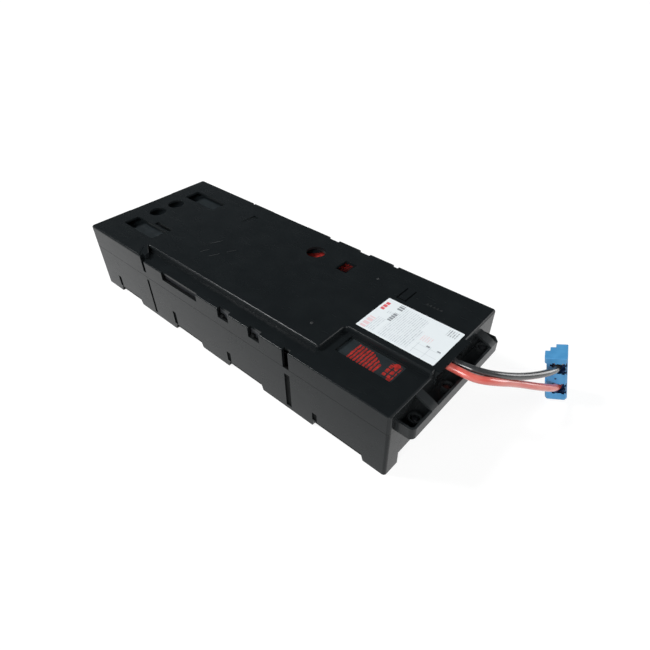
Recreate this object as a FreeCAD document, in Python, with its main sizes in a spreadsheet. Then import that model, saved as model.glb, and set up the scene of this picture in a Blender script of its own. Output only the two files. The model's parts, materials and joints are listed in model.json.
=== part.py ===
import FreeCAD, Part
import math
import os
import re
import Sketcher

# Battery cartridge of a rack power supply, in millimetres.
# The case lies along X with the cable end at +X, its long near side faces -Y and +Z is up.
# The origin is under the middle of the case and its grip trough, on the surface that it stands on.

SIZES = [
    # Case outline
    ("body_length", 422.0, "case along X, without the grip trough"),
    ("body_width", 160.0, "case along Y"),
    ("deck_height", 77.0, "top of the raised deck"),
    ("ledge_drop", 5.6, "lower ledge below the deck"),
    ("cover_drop", 25.5, "joint between tray and cover below the deck"),
    ("overcut", 1.0, "how far a cut reaches past a face"),
    ("wall", 2.6, "side wall"),
    ("roof", 2.4, "cover top"),
    ("corner_radius", 3.0, "upright corners of the case"),
    ("edge_radius", 2.4, "rounding of the deck edge"),
    ("ledge_edge_radius", 1.0, "rounding of the ledge edge"),
    ("end_recess_depth", 2.4, "shallow recess in the plain end"),
    ("end_recess_half", 29.5, "half width of that recess"),
    # Ledge
    ("ledge_gap", 0.6, "start of the ledge past the first block"),
    ("ledge_slant", 15.4, "slanted end of the ledge along X"),
    ("ledge_width", 18.5, "ledge along the near side"),
    ("corner_length", 87.5, "widened ledge before the cable end"),
    ("corner_width", 54.0, "widened ledge at the cable end"),
    # Tray
    ("floor_gap", 1.8, "underside of the floor plate above the surface"),
    ("floor_top", 3.4, "inside of the floor plate"),
    ("curb_height", 8.8, "thick lower part of the side walls"),
    ("underside_rim", 6.0, "rim left around the underside pockets"),
    ("underside_rib", 5.0, "rib between the underside pockets"),
    ("notch_height", 13.5, "finger notch under the cable end"),
    ("notch_side", 17.5, "finger notch from the sides"),
    ("notch_depth", 9.4, "depth of the finger notch"),
    ("scallop_height", 7.4, "raised stretches of the bottom edge"),
    ("scallop_depth", 3.4, "how far the scallops reach in"),
    ("scallop_slant", 2.2, "slant of the scallop ends"),
    ("scallop_1_start", 31.0, "first scallop"),
    ("scallop_1_end", 74.0, "first scallop"),
    ("scallop_2_shift", 28.4, "second scallop past the start of block 2"),
    ("scallop_2_length", 47.0, "second scallop"),
    ("scallop_3_shift", 19.5, "third scallop past the start of block 3"),
    ("scallop_3_length", 50.5, "third scallop"),
    ("scallop_4_back", 79.2, "fourth scallop before the cable end"),
    ("scallop_4_length", 56.6, "fourth scallop"),
    ("slot_foot", 0.6, "foot of those slots above the scallops"),
    ("slot_width", 5.4, "short upright slots beside the scallops"),
    ("slot_depth", 1.6, "depth of the slots and grooves in the tray side"),
    ("slot_1_top", 21.6, "top of the first slot"),
    ("slot_2_top", 24.6, "top of the second slot"),
    ("slot_3_top", 19.6, "top of the third slot"),
    ("slot_4_top", 17.0, "top of the fourth slot"),
    ("groove_1_gap", 2.4, "first tall groove past the first block"),
    ("groove_1_width", 3.8, "first tall groove"),
    ("groove_1_drop", 3.5, "top of the first tall groove below the joint"),
    ("groove_2_back", 4.6, "second tall groove before block 4"),
    ("groove_2_width", 6.4, "second tall groove"),
    ("groove_2_drop", 7.2, "top of the second tall groove below the joint"),
    ("groove_foot", 4.0, "lower end of the tall grooves"),
    ("rib_width", 5.0, "ribs that locate the blocks sideways"),
    ("rib_drop", 1.0, "top of those ribs below the joint"),
    ("rib_inset", 18.0, "rib from either end of a block"),
    # Cover side openings
    ("skirt_cut_depth", 4.2, "depth of the notches in the cover side"),
    ("gate_1_width", 4.8, "narrow notch at the ledge start"),
    ("gate_1_rise", 6.1, "foot of the narrow notch above the joint"),
    ("handle_shift", 24.3, "hand slot past the start of block 2"),
    ("handle_length", 56.6, "hand slot in the cover side"),
    ("handle_rise", 11.0, "lower edge of the hand slot above the joint"),
    ("handle_set_back", 2.0, "bar over the hand slot stands back this far"),
    ("latch_1_shift", 15.7, "first latch notch past the start of block 3"),
    ("latch_1_length", 14.9, "first latch notch"),
    ("latch_2_shift", 58.1, "second latch notch past the start of block 3"),
    ("latch_2_length", 14.2, "second latch notch"),
    ("latch_rise", 9.7, "lower edge of the latch notches above the joint"),
    ("tongue_width", 4.0, "latch tongue of the tray"),
    ("tongue_rise", 2.8, "top of the latch tongues above that edge"),
    ("tongue_thick", 1.4, "latch tongue along Y"),
    ("tongue_root", 8.0, "how far the tongues start below the seam"),
    ("tongue_play", 0.15, "play of the tongues in the cover"),
    ("tongue_catch", 1.3, "how far the hooks reach into the cover side"),
    ("gate_2_back", 5.6, "tall notch before block 4"),
    ("gate_2_width", 7.2, "tall notch over the second groove"),
    # Deck openings, measured from the plain end and from the near side
    ("window_near_x", 23.2, "large window near the plain end, near side"),
    ("window_near_y", 28.6, "large window near the plain end, near side"),
    ("window_near_length", 56.1, "large window near the plain end, near side"),
    ("window_near_width", 18.8, "large window near the plain end, near side"),
    ("window_small_x", 52.5, "small slot beside it"),
    ("window_small_y", 49.6, "small slot beside it"),
    ("window_small_length", 28.8, "small slot beside it"),
    ("window_small_width", 5.4, "small slot beside it"),
    ("window_far_x", 23.2, "large window near the plain end, far side"),
    ("window_far_back", 45.7, "large window near the plain end, from the far side"),
    ("window_far_length", 54.0, "large window near the plain end, far side"),
    ("window_far_width", 20.0, "large window near the plain end, far side"),
    ("porthole_x", 30.4, "pair of round holes near the plain end"),
    ("porthole_1_share", 0.326, "first round hole, as a share of the space between those windows"),
    ("porthole_2_share", 0.7145, "second round hole, as a share of that space"),
    ("porthole_share", 0.142, "radius of the round holes, as a share of that space"),
    ("louvre_shift", 14.0, "ramped louvre past the start of block 2"),
    ("louvre_back", 42.7, "ramped louvre from the far side"),
    ("louvre_length", 8.2, "ramped louvre"),
    ("louvre_width", 20.6, "ramped louvre"),
    ("louvre_lip", 1.0, "material left at the low end of the ramp"),
    ("sight_shift", 25.6, "round sight hole past the start of block 3"),
    ("sight_back", 34.4, "round sight hole from the far side"),
    ("sight_radius", 10.3, "round sight hole"),
    ("window_mid_shift", 60.3, "upright window past the start of block 3"),
    ("window_mid_back", 44.4, "upright window from the far side"),
    ("window_mid_length", 14.0, "upright window beside the sight hole"),
    ("window_mid_width", 18.0, "upright window beside the sight hole"),
    ("spring_back_x", 78.6, "slot around the spring tongue before the cable end"),
    ("spring_back_y", 44.4, "slot around the spring tongue from the far side"),
    ("spring_length", 10.8, "slot around the spring tongue"),
    ("spring_width", 19.2, "slot around the spring tongue"),
    ("spring_slot", 1.5, "width of that slot"),
    ("ledge_window_back", 78.7, "window in the widened ledge before the cable end"),
    ("ledge_window_y", 29.3, "window in the widened ledge"),
    ("ledge_window_length", 57.6, "window in the widened ledge"),
    ("ledge_window_width", 23.0, "window in the widened ledge"),
    ("window_corner_radius", 1.0, "corners of the windows"),
    # Grip trough at the cable end
    ("grip_reach", 15.5, "trough along X"),
    ("grip_near", 7.7, "near end of the trough from the near side"),
    ("grip_back", 18.0, "far end of the trough from the far side"),
    ("grip_rise", 11.3, "rim of the trough above the joint"),
    ("grip_floor", 2.5, "floor of the trough"),
    ("grip_wall", 2.0, "rim wall of the trough"),
    ("grip_corner", 4.6, "near corner of the trough"),
    ("ring_x", 6.6, "ring bosses from the end wall"),
    ("ring_near_y", 23.7, "near ring boss"),
    ("ring_far_back", 31.3, "far ring boss from the far side"),
    ("ring_radius", 5.6, "ring boss outside"),
    ("ring_bore", 3.9, "ring boss inside"),
    ("ring_rise", 3.4, "ring boss over the trough floor"),
    ("hex_x", 7.7, "hexagonal boss from the end wall"),
    ("hex_shift", 9.0, "hexagonal boss past the near cheek of the hood"),
    ("hex_radius", 5.4, "hexagonal boss to its corners"),
    ("hex_rise", 4.4, "hexagonal boss over the trough floor"),
    ("screw_head_radius", 3.4, "screw heads in the trough"),
    ("screw_head_height", 2.2, "screw heads in the trough"),
    ("screw_shank_radius", 1.5, "screw shanks"),
    ("screw_hole_radius", 1.55, "screw holes through the trough floor"),
    ("screw_tip", 2.0, "screw tips below the trough"),
    ("strap_width", 8.4, "snap straps over the trough"),
    ("strap_near_y", 32.4, "near snap strap"),
    ("strap_far_back", 34.4, "far snap strap from the far side"),
    ("strap_drop", 0.8, "upper end of the straps below the ledge"),
    ("strap_thick", 2.3, "strap thickness"),
    ("strap_lip", 0.6, "strap ends over the rim"),
    ("strap_bend_x", 11.4, "where the straps turn down"),
    ("strap_bend_rise", 3.2, "turn of the straps above the rim"),
    # Hood over the lead exit
    ("hood_gap", 5.0, "hood past the widened ledge"),
    ("hood_width", 46.4, "hood along Y"),
    ("hood_reach", 4.1, "hood along X"),
    ("hood_lip", 1.5, "thickness of the hood roof"),
    ("hood_side", 2.0, "thickness of the hood cheeks"),
    ("hood_rise", 9.5, "lower end of the hood cheeks above the joint"),
    ("hood_foot_reach", 1.0, "reach of the cheeks at their foot"),
    ("hood_curve", 22.0, "radius of the cheek edge"),
    ("exit_rise", 10.5, "lower edge of the lead exit above the joint"),
    # Battery blocks, lying flat
    ("block_side_room", 4.5, "room between a block and the outside of the case"),
    ("end_room", 12.6, "room behind the last block for the leads"),
    ("head_room", 6.0, "room over the blocks for foam and wiring"),
    ("block_rest", 0.2, "lift of the blocks over the floor"),
    ("block_play", 0.2, "play of a block in its bed"),
    ("block_radius", 1.6, "rounding of the blocks"),
    ("lid_depth", 9.0, "lid of a block"),
    ("tab_gap", 12.4, "space between facing lids"),
    ("foam_gap", 3.4, "foam between the two pairs"),
    ("tab_width", 6.35, "push-on tab"),
    ("tab_thick", 0.8, "push-on tab"),
    ("tab_reach", 5.8, "push-on tab over the lid"),
    ("tab_side", 9.0, "tab centre from the side of its block"),
    ("tab_drop", 12.0, "tab centre below the upper face of its block"),
    ("print_end", 3.2, "printed film from the ends of its block"),
    ("print_side", 4.8, "printed film from the sides of its block"),
    ("print_thick", 0.15, "printed film on a block"),
    # Wiring inside
    ("socket_wall", 0.9, "sheet around a push-on tab"),
    ("socket_play", 0.05, "play of a tab in its socket"),
    ("inner_wire_radius", 1.9, "internal wire"),
    ("fuse_radius", 2.6, "in-line fuse holder"),
    ("fuse_length", 34.0, "in-line fuse holder"),
    ("fuse_shift", 56.4, "middle of the fuse holder past the start of block 2"),
    ("socket_length", 5.2, "flag receptacle on a tab"),
    ("barrel_radius", 2.3, "crimp barrel of a flag receptacle"),
    ("barrel_height", 5.0, "crimp barrel of a flag receptacle"),
    ("wire_lift", 0.2, "air under the fuse holder"),
    ("wire_lead_in", 12.0, "internal wire along X before it runs straight"),
    ("link_back", 21.5, "long series link from the far side"),
    ("link_spacing", 6.0, "internal red lead beside the long link"),
    ("tail_turn", 24.0, "turn of the internal black lead before the end of the last block"),
    ("tail_back", 6.4, "internal black lead from the far side"),
    ("foam_wide", 100.0, "foam between the two pairs of blocks along Y"),
    ("foam_length", 34.0, "foam pads over the blocks along X"),
    ("foam_inset", 14.0, "foam pads from the tabs of the end blocks"),
    ("foam_step_gap", 3.6, "last foam pad from the step of the deck"),
    ("foam_lead_gap", 4.85, "last foam pad from the middle of the red inner lead"),
    ("foam_width", 40.0, "foam pads over the blocks along Y"),
    # Lead exit and clamp
    ("lead_red_radius", 3.5, "red lead"),
    ("lead_black_radius", 3.2, "black lead"),
    ("exit_red_shift", 18.2, "red lead past the near cheek of the hood"),
    ("exit_red_rise", 6.9, "red lead above the foot of the exit"),
    ("exit_red_run", 13.1, "straight start of the red lead"),
    ("exit_black_shift", 26.1, "black lead past the near cheek of the hood"),
    ("exit_black_rise", 6.2, "black lead above the foot of the exit"),
    ("exit_black_run", 10.7, "straight start of the black lead"),
    ("clamp_depth", 4.0, "lead clamp along X"),
    ("clamp_margin", 5.0, "clamp beside the leads"),
    ("clamp_drop", 1.5, "lower edge of the clamp below the exit"),
    ("bore_play", 0.15, "play of a lead in the clamp"),
    # Label
    ("label_back", 82.2, "rating label before the cable end"),
    ("label_gap", 7.2, "rating label past the widened ledge"),
    ("label_length", 78.3, "rating label"),
    ("label_width", 49.4, "rating label"),
    ("label_thick", 0.2, "rating label"),
    ("label_radius", 2.0, "rating label corners"),
    # Blue connector, placed by its lower near left corner
    ("connector_gap", 47.75, "connector corner beyond the trough"),
    ("connector_shift", 87.5, "connector corner past the red lead"),
    ("connector_yaw", 20.4, "connector turned about Z"),
    ("connector_pitch", -14.5, "connector turned about its own Y"),
    ("connector_roll", 1.2, "connector turned about its own X"),
    ("connector_width", 18.5, "connector across"),
    ("connector_depth", 22.0, "connector along its leads"),
    ("connector_height", 50.0, "connector along its two poles"),
    ("connector_full", 12.3, "full-width part of the connector from its lead face"),
    ("connector_second", 17.6, "first set-in part from the lead face"),
    ("connector_radius", 1.6, "connector edges"),
    ("pole_across", 11.1, "cavities from the connector's left face"),
    ("pole_red", 14.8, "red pole above the connector's foot"),
    ("pole_black", 39.0, "black pole above the connector's foot"),
    ("cavity_radius", 5.9, "round lead cavity"),
    ("key_spacing", 7.2, "pairs of key slots across a cavity"),
    ("key_width", 1.8, "key slots of the cavities"),
    ("key_reach", 0.8, "key slots beyond the cavity"),
    ("key_depth", 3.0, "key slots of the cavities"),
    ("side_notch", 1.3, "shallow notch in the connector's left face"),
    ("side_notch_foot", 22.0, "lower end of that notch"),
    ("side_notch_top", 40.0, "upper end of that notch"),
    ("mouth_depth", 0.4, "last bend of a lead inside its cavity"),
    ("cavity_depth", 7.0, "lead cavity"),
    ("contact_radius", 3.6, "contact barrel"),
    ("contact_play", 0.05, "play of a contact in the housing"),
    ("blade_length", 6.0, "contact blade in the mating mouth"),
    ("blade_width", 5.0, "contact blade in the mating mouth"),
    ("blade_thick", 2.2, "contact blade in the mating mouth"),
    ("mating_depth", 8.0, "mating mouth at the back"),
    ("mating_width", 8.0, "mating mouth at the back"),
    ("mating_height", 15.0, "mating mouth at the back"),
    ("step_1", 3.0, "first set-in of the connector's back"),
    ("step_2", 5.5, "second set-in of the connector's back"),
]

# Sizes and places that follow from those above
FITTED = [
    ("ledge_height", "deck_height - ledge_drop"),
    ("seam_height", "deck_height - cover_drop"),
    ("block_width", "body_width - 2 * block_side_room"),
    ("bed_start", "end_recess_depth + wall"),
    ("bed_run", "body_length - bed_start - block_play - end_room - 2 * tab_gap - foam_gap"),
    ("block_depth", "bed_run / 4"),
    ("block_thick", "deck_height - roof - head_room - floor_top - block_rest"),
    ("block_1_start", "bed_start + block_play"),
    ("block_2_start", "block_1_start + block_depth + tab_gap"),
    ("block_3_start", "block_2_start + block_depth + foam_gap"),
    ("block_4_start", "block_3_start + block_depth + tab_gap"),
    ("ledge_start", "block_1_start + block_depth + ledge_gap"),
    ("ledge_slant_end", "ledge_start - ledge_slant"),
    ("corner_start", "body_length - corner_length"),
    ("notch_half", "body_width / 2 - notch_side"),
    ("scallop_2_start", "block_2_start + scallop_2_shift"),
    ("scallop_2_end", "scallop_2_start + scallop_2_length"),
    ("scallop_3_start", "block_3_start + scallop_3_shift"),
    ("scallop_3_end", "scallop_3_start + scallop_3_length"),
    ("scallop_4_start", "body_length - scallop_4_back"),
    ("scallop_4_end", "scallop_4_start + scallop_4_length"),
    ("groove_1_start", "block_1_start + block_depth + groove_1_gap"),
    ("groove_1_top", "seam_height - groove_1_drop"),
    ("groove_2_start", "block_4_start - groove_2_back"),
    ("groove_2_top", "seam_height - groove_2_drop"),
    ("gate_1_foot", "seam_height + gate_1_rise"),
    ("gate_2_start", "block_4_start - gate_2_back"),
    ("handle_start", "block_2_start + handle_shift"),
    ("handle_foot", "seam_height + handle_rise"),
    ("latch_1_start", "block_3_start + latch_1_shift"),
    ("latch_2_start", "block_3_start + latch_2_shift"),
    ("latch_foot", "seam_height + latch_rise"),
    ("tongue_top", "latch_foot + tongue_rise"),
    ("window_far_y", "body_width - window_far_back"),
    ("window_space", "window_far_y - window_near_y - window_near_width"),
    ("porthole_1_y", "window_near_y + window_near_width + porthole_1_share * window_space"),
    ("porthole_2_y", "window_near_y + window_near_width + porthole_2_share * window_space"),
    ("porthole_radius", "porthole_share * window_space"),
    ("louvre_x", "block_2_start + louvre_shift"),
    ("louvre_y", "body_width - louvre_back"),
    ("sight_x", "block_3_start + sight_shift"),
    ("sight_y", "body_width - sight_back"),
    ("window_mid_x", "block_3_start + window_mid_shift"),
    ("window_mid_y", "body_width - window_mid_back"),
    ("spring_x", "body_length - spring_back_x"),
    ("spring_y", "body_width - spring_back_y"),
    ("ledge_window_x", "body_length - ledge_window_back"),
    ("grip_far", "body_width - grip_back"),
    ("grip_rim_height", "seam_height + grip_rise"),
    ("hood_y", "corner_width + hood_gap"),
    ("hood_foot", "seam_height + hood_rise"),
    ("exit_foot", "seam_height + exit_rise"),
    ("ring_far_y", "body_width - ring_far_back"),
    ("hex_y", "hood_y + hex_shift"),
    ("strap_far_y", "body_width - strap_far_back"),
    ("strap_top", "ledge_height - strap_drop"),
    ("strap_bend_height", "grip_rim_height + strap_bend_rise"),
    ("tab_height", "block_thick - tab_drop"),
    ("fuse_x", "block_2_start + fuse_shift"),
    ("link_y", "body_width - link_back"),
    ("tail_y", "body_width - tail_back"),
    ("exit_red_y", "hood_y + exit_red_shift"),
    ("exit_black_y", "hood_y + exit_black_shift"),
    ("exit_red_height", "exit_foot + exit_red_rise"),
    ("exit_black_height", "exit_foot + exit_black_rise"),
    ("clamp_foot", "exit_foot - clamp_drop"),
    ("label_x", "body_length - label_back"),
    ("label_y", "corner_width + label_gap"),
    ("connector_x", "(body_length + grip_reach) / 2 + connector_gap"),
    ("connector_y", "exit_red_y - body_width / 2 + connector_shift"),
]

doc = FreeCAD.newDocument("Cartridge")
sheet = doc.addObject("Spreadsheet::Sheet", "Sizes")
for row, (alias, size, note) in enumerate(SIZES, start=1):
    sheet.set(f"A{row}", note)
    sheet.set(f"B{row}", str(size))
    sheet.setAlias(f"B{row}", alias)
doc.recompute()

NAMES = re.compile(r"\b(" + "|".join(alias for alias, size, note in SIZES) + r")\b")
FITS = dict(FITTED)
FIT_NAMES = re.compile(r"\b(" + "|".join(FITS) + r")\b")

# Places that several pieces share, as expressions of the sheet
MIDDLE = "((body_length + grip_reach) / 2)"
NEAR = "(-body_width / 2)"
FAR = "(body_width / 2)"
BLOCK_FOOT = "(floor_top + block_rest)"
BLOCK_TOP = "(floor_top + block_rest + block_thick)"
BLOCK_STARTS = [f"block_{i}_start" for i in range(1, 5)]
BLOCK_END = "(block_4_start + block_depth)"
NOTCH_BACK = "(body_length - notch_depth)"
CLAMP_START = "(body_length - wall - clamp_depth)"
TAB_HEIGHT = f"({BLOCK_FOOT} + tab_height)"
SOCKET_TOP = f"({TAB_HEIGHT} + tab_thick / 2 + socket_play + socket_wall)"
WIRE_HEIGHT = f"({BLOCK_TOP} + print_thick + wire_lift + fuse_radius)"

# Share of the shorter run that each arc of a cord takes on either side of its corner
ARC_SHARE = 0.45
# Flat sides of the wires inside the case
WIRE_SIDES = 8

nodes = []


def bound(text):
    """The expression in the sheet's aliases alone, with the sheet's name before each."""
    while FIT_NAMES.search(text):
        text = FIT_NAMES.sub(lambda found: f"({FITS[found.group(1)]})", text)
    return NAMES.sub(r"Sizes.\1", text)


def number(text):
    """The present value of an expression of the sheet's aliases."""
    return float(sheet.evalExpression(bound(text)))


def bind(thing, field, text):
    thing.setExpression(field, bound(text))


def from_near(text):
    """A distance from the near side as a Y place."""
    return f"({text} - body_width / 2)"


def vector(x, y, z):
    return FreeCAD.Vector(number(x), number(y), number(z))


# Sketches and features


def new_body(label, placed=True):
    body = doc.addObject("PartDesign::Body", label)
    body.Label = label
    if placed:
        bind(body, "Placement.Base.x", f"-{MIDDLE}")
    nodes.append(body)
    return body


def origin_part(body, role):
    return next(item for item in body.Origin.OriginFeatures if item.Role == role)


def new_sketch(body, name, plane, offset="0"):
    sketch = body.newObject("Sketcher::SketchObject", name)
    sketch.AttachmentSupport = [(origin_part(body, plane), "")]
    sketch.MapMode = "FlatFace"
    bind(sketch, "AttachmentOffset.Base.z", offset)
    return sketch


def tie(sketch, kind, geometry, point, text):
    """Holds one point of a sketch, or a radius, at an expression."""
    if kind == "Radius":
        constraint = Sketcher.Constraint(kind, geometry, number(text))
    else:
        constraint = Sketcher.Constraint(kind, -1, 1, geometry, point, number(text))
    index = sketch.addConstraint(constraint)
    sketch.setExpression(f"Constraints[{index}]", bound(text))


def arc_between(start, end, radius):
    """The short arc from start to end, turning left for a positive radius."""
    middle = (start + end) / 2
    half = (end - start).Length / 2
    across = FreeCAD.Vector(start.y - end.y, end.x - start.x, 0).normalize()
    side = math.copysign(1, radius)
    centre = middle + across * (side * math.sqrt(radius**2 - half**2))
    top = centre - across * (side * abs(radius))
    return Part.Arc(start, top, end)


def outline(sketch, corners):
    """A closed outline; a corner is (x, y), or (x, y, radius) where an arc leaves it."""
    points = [FreeCAD.Vector(number(corner[0]), number(corner[1]), 0) for corner in corners]
    first = sketch.GeometryCount
    count = len(corners)
    starts = []
    ends = []
    for i, corner in enumerate(corners):
        after = points[(i + 1) % count]
        starts.append(1)
        ends.append(2)
        if len(corner) == 3:
            radius = number(corner[2])
            sketch.addGeometry(arc_between(points[i], after, radius))
            tie(sketch, "Radius", first + i, 0, f"abs({corner[2]})")
            if radius < 0:
                starts[i] = 2
                ends[i] = 1
        else:
            sketch.addGeometry(Part.LineSegment(points[i], after))
    for i, corner in enumerate(corners):
        before = (i - 1) % count
        sketch.addConstraint(
            Sketcher.Constraint("Coincident", first + before, ends[before], first + i, starts[i])
        )
        tie(sketch, "DistanceX", first + i, starts[i], corner[0])
        tie(sketch, "DistanceY", first + i, starts[i], corner[1])


def rectangle(sketch, x, y, length, width):
    right = f"{x} + {length}"
    back = f"{y} + {width}"
    outline(sketch, [(x, y), (right, y), (right, back), (x, back)])


def circle(sketch, x, y, radius):
    centre = FreeCAD.Vector(number(x), number(y), 0)
    index = sketch.addGeometry(Part.Circle(centre, FreeCAD.Vector(0, 0, 1), number(radius)))
    tie(sketch, "DistanceX", index, 3, x)
    tie(sketch, "DistanceY", index, 3, y)
    tie(sketch, "Radius", index, 0, radius)


def pad(body, name, sketch, length, both_ways=False):
    feature = body.newObject("PartDesign::Pad", name)
    feature.Profile = sketch
    feature.Midplane = both_ways
    bind(feature, "Length", length)
    doc.recompute()
    return feature


def pocket(body, name, sketch, depth, upward=False):
    """Cuts against the sketch's normal, or along it when upward is set."""
    before = body.Shape.Volume
    feature = body.newObject("PartDesign::Pocket", name)
    feature.Profile = sketch
    feature.Reversed = upward
    bind(feature, "Length", depth)
    doc.recompute()
    if feature.Shape.Volume > before - 0.01:
        raise RuntimeError(f"{body.Label}: {name} cuts nothing")
    return feature


def mirrored(body, name, originals):
    """Repeats features on the far side of the case."""
    feature = body.newObject("PartDesign::Mirrored", name)
    feature.Originals = originals
    feature.MirrorPlane = (origin_part(body, "XZ_Plane"), [""])
    body.Tip = feature
    doc.recompute()
    return feature


def repeated(body, name, originals, pitch, count):
    """Repeats features along X."""
    feature = body.newObject("PartDesign::LinearPattern", name)
    feature.Originals = originals
    feature.Direction = (origin_part(body, "X_Axis"), [""])
    feature.Occurrences = count
    bind(feature, "Length", f"({pitch}) * {count - 1}")
    body.Tip = feature
    doc.recompute()
    return feature


def round_edges(body, name, radius, wanted):
    """Fillets the edges of the body that the test picks."""
    base = body.Tip
    found = [f"Edge{i}" for i, edge in enumerate(base.Shape.Edges, start=1) if wanted(edge)]
    if not found:
        raise RuntimeError(f"{body.Label}: {name} finds no edge")
    feature = body.newObject("PartDesign::Fillet", name)
    feature.Base = (base, found)
    bind(feature, "Radius", radius)
    doc.recompute()
    return feature


def near_to(a, b):
    return abs(a - b) < 0.01


def is_upright(edge):
    box = edge.BoundBox
    return box.XLength < 0.01 and box.YLength < 0.01 and box.ZLength > 0.1


def is_level(edge, height):
    box = edge.BoundBox
    return near_to(box.ZMin, height) and near_to(box.ZMax, height)


def at_corner(edge, places):
    """True for an upright edge at one of the given X and Y places."""
    box = edge.BoundBox
    return is_upright(edge) and any(
        near_to(box.XMin, number(x)) and near_to(box.YMin, number(y)) for x, y in places
    )


CASE_CORNERS = [("0", NEAR), ("body_length", NEAR), ("body_length", FAR), ("0", FAR)]


def end_recess(body, foot, height):
    """The shallow recess in the plain end, from one height up to another."""
    sketch = new_sketch(body, "EndRecessSketch", "XY_Plane", foot)
    rectangle(
        sketch, "-overcut", "-end_recess_half", "overcut + end_recess_depth", "2 * end_recess_half"
    )
    return pocket(body, "EndRecess", sketch, f"{height} - {foot} + overcut", upward=True)


def inner_outline(sketch):
    """The inside of the case walls, stepped in behind the end recess."""
    back = "bed_start"
    side = "end_recess_half + wall"
    outline(
        sketch,
        [
            ("wall", f"{NEAR} + wall"),
            ("body_length - wall", f"{NEAR} + wall"),
            ("body_length - wall", f"{FAR} - wall"),
            ("wall", f"{FAR} - wall"),
            ("wall", side),
            (back, side),
            (back, f"-({side})"),
            ("wall", f"-({side})"),
        ],
    )


# Lower half of the case


def make_tongues(body):
    """Snap hooks that stand inside the cover and catch on its latch notches."""
    face = "wall + tongue_play"
    profile = [
        ("wall", "seam_height - tongue_root"),
        ("wall + tongue_thick", "seam_height - tongue_root + tongue_thick"),
        ("wall + tongue_thick", "tongue_top"),
        (face, "tongue_top"),
        ("wall - tongue_catch", "latch_foot + tongue_play + tongue_catch / 2"),
        ("wall - tongue_catch", "latch_foot + tongue_play"),
        (face, "latch_foot + tongue_play"),
        (face, "seam_height"),
        ("wall", "seam_height"),
    ]
    tongues = []
    for i in range(1, 3):
        sketch = new_sketch(body, f"TongueSketch{i}", "YZ_Plane", f"latch_{i}_start + wall / 2")
        outline(sketch, [(from_near(y), z) for y, z in profile])
        tongues.append(pad(body, f"Tongue{i}", sketch, "tongue_width"))
    mirrored(body, "FarTongues", tongues)


def make_tray():
    body = new_body("tray")
    sketch = new_sketch(body, "OutlineSketch", "XY_Plane")
    rectangle(sketch, "0", NEAR, "body_length", "body_width")
    pad(body, "Outline", sketch, "seam_height")
    round_edges(body, "Corners", "corner_radius", lambda edge: at_corner(edge, CASE_CORNERS))
    end_recess(body, "0", "seam_height")

    shelf = "notch_height + roof"
    sketch = new_sketch(body, "CavitySketch", "XY_Plane", "seam_height")
    inner_outline(sketch)
    pocket(body, "Cavity", sketch, f"seam_height - ({shelf})")
    bed_length = f"{BLOCK_END} + block_play - bed_start"
    sketch = new_sketch(body, "LowerCavitySketch", "XY_Plane", shelf)
    rectangle(sketch, "bed_start", f"{NEAR} + wall", bed_length, "body_width - 2 * wall")
    pocket(body, "LowerCavity", sketch, f"{shelf} - curb_height")
    sketch = new_sketch(body, "BedSketch", "XY_Plane", "curb_height")
    bed_width = "block_width + 2 * block_play"
    rectangle(sketch, "bed_start", f"-({bed_width}) / 2", bed_length, bed_width)
    pocket(body, "Bed", sketch, "curb_height - floor_top")

    pitch = f"({NOTCH_BACK} - 2 * underside_rim + underside_rib) / 4"
    sketch = new_sketch(body, "UndersideSketch", "XY_Plane")
    rectangle(
        sketch,
        "underside_rim",
        f"{NEAR} + underside_rim",
        f"{pitch} - underside_rib",
        "body_width - 2 * underside_rim",
    )
    hollow = pocket(body, "Underside", sketch, "floor_gap", upward=True)
    repeated(body, "UndersideRow", [hollow], pitch, 4)

    sketch = new_sketch(body, "NotchSketch", "YZ_Plane", "body_length")
    rectangle(sketch, "-notch_half", "-overcut", "2 * notch_half", "overcut + notch_height")
    pocket(body, "FingerNotch", sketch, "notch_depth")

    sketch = new_sketch(body, "ScallopSketch", "XZ_Plane", FAR)
    for i in range(1, 5):
        start = f"scallop_{i}_start"
        end = f"scallop_{i}_end"
        outline(
            sketch,
            [
                (start, "0"),
                (end, "0"),
                (f"{end} - scallop_slant", "scallop_height"),
                (f"{start} + scallop_slant", "scallop_height"),
            ],
        )
    scallops = pocket(body, "Scallops", sketch, "scallop_depth")
    mirrored(body, "FarScallops", [scallops])

    sketch = new_sketch(body, "SlotSketch", "XZ_Plane", FAR)
    for i in range(1, 5):
        foot = "scallop_height + slot_foot"
        rectangle(sketch, f"scallop_{i}_start", foot, "slot_width", f"slot_{i}_top - ({foot})")
    for i in range(1, 3):
        rectangle(
            sketch,
            f"groove_{i}_start",
            "groove_foot",
            f"groove_{i}_width",
            f"groove_{i}_top - groove_foot",
        )
    slots = pocket(body, "Slots", sketch, "slot_depth")
    mirrored(body, "FarSlots", [slots])

    for i, start in enumerate(BLOCK_STARTS, start=1):
        sketch = new_sketch(body, f"RibSketch{i}", "XY_Plane", "curb_height")
        rib_x = [f"{start} + rib_inset", f"{start} + block_depth - rib_inset - rib_width"]
        reach = "body_width / 2 - wall - block_width / 2 - block_play"
        for x in rib_x:
            rectangle(sketch, x, f"{NEAR} + wall", "rib_width", reach)
            rectangle(sketch, x, f"{FAR} - wall - ({reach})", "rib_width", reach)
        pad(body, f"Ribs{i}", sketch, "seam_height - curb_height - rib_drop")

    make_tongues(body)
    return body


# Upper half of the case


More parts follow.
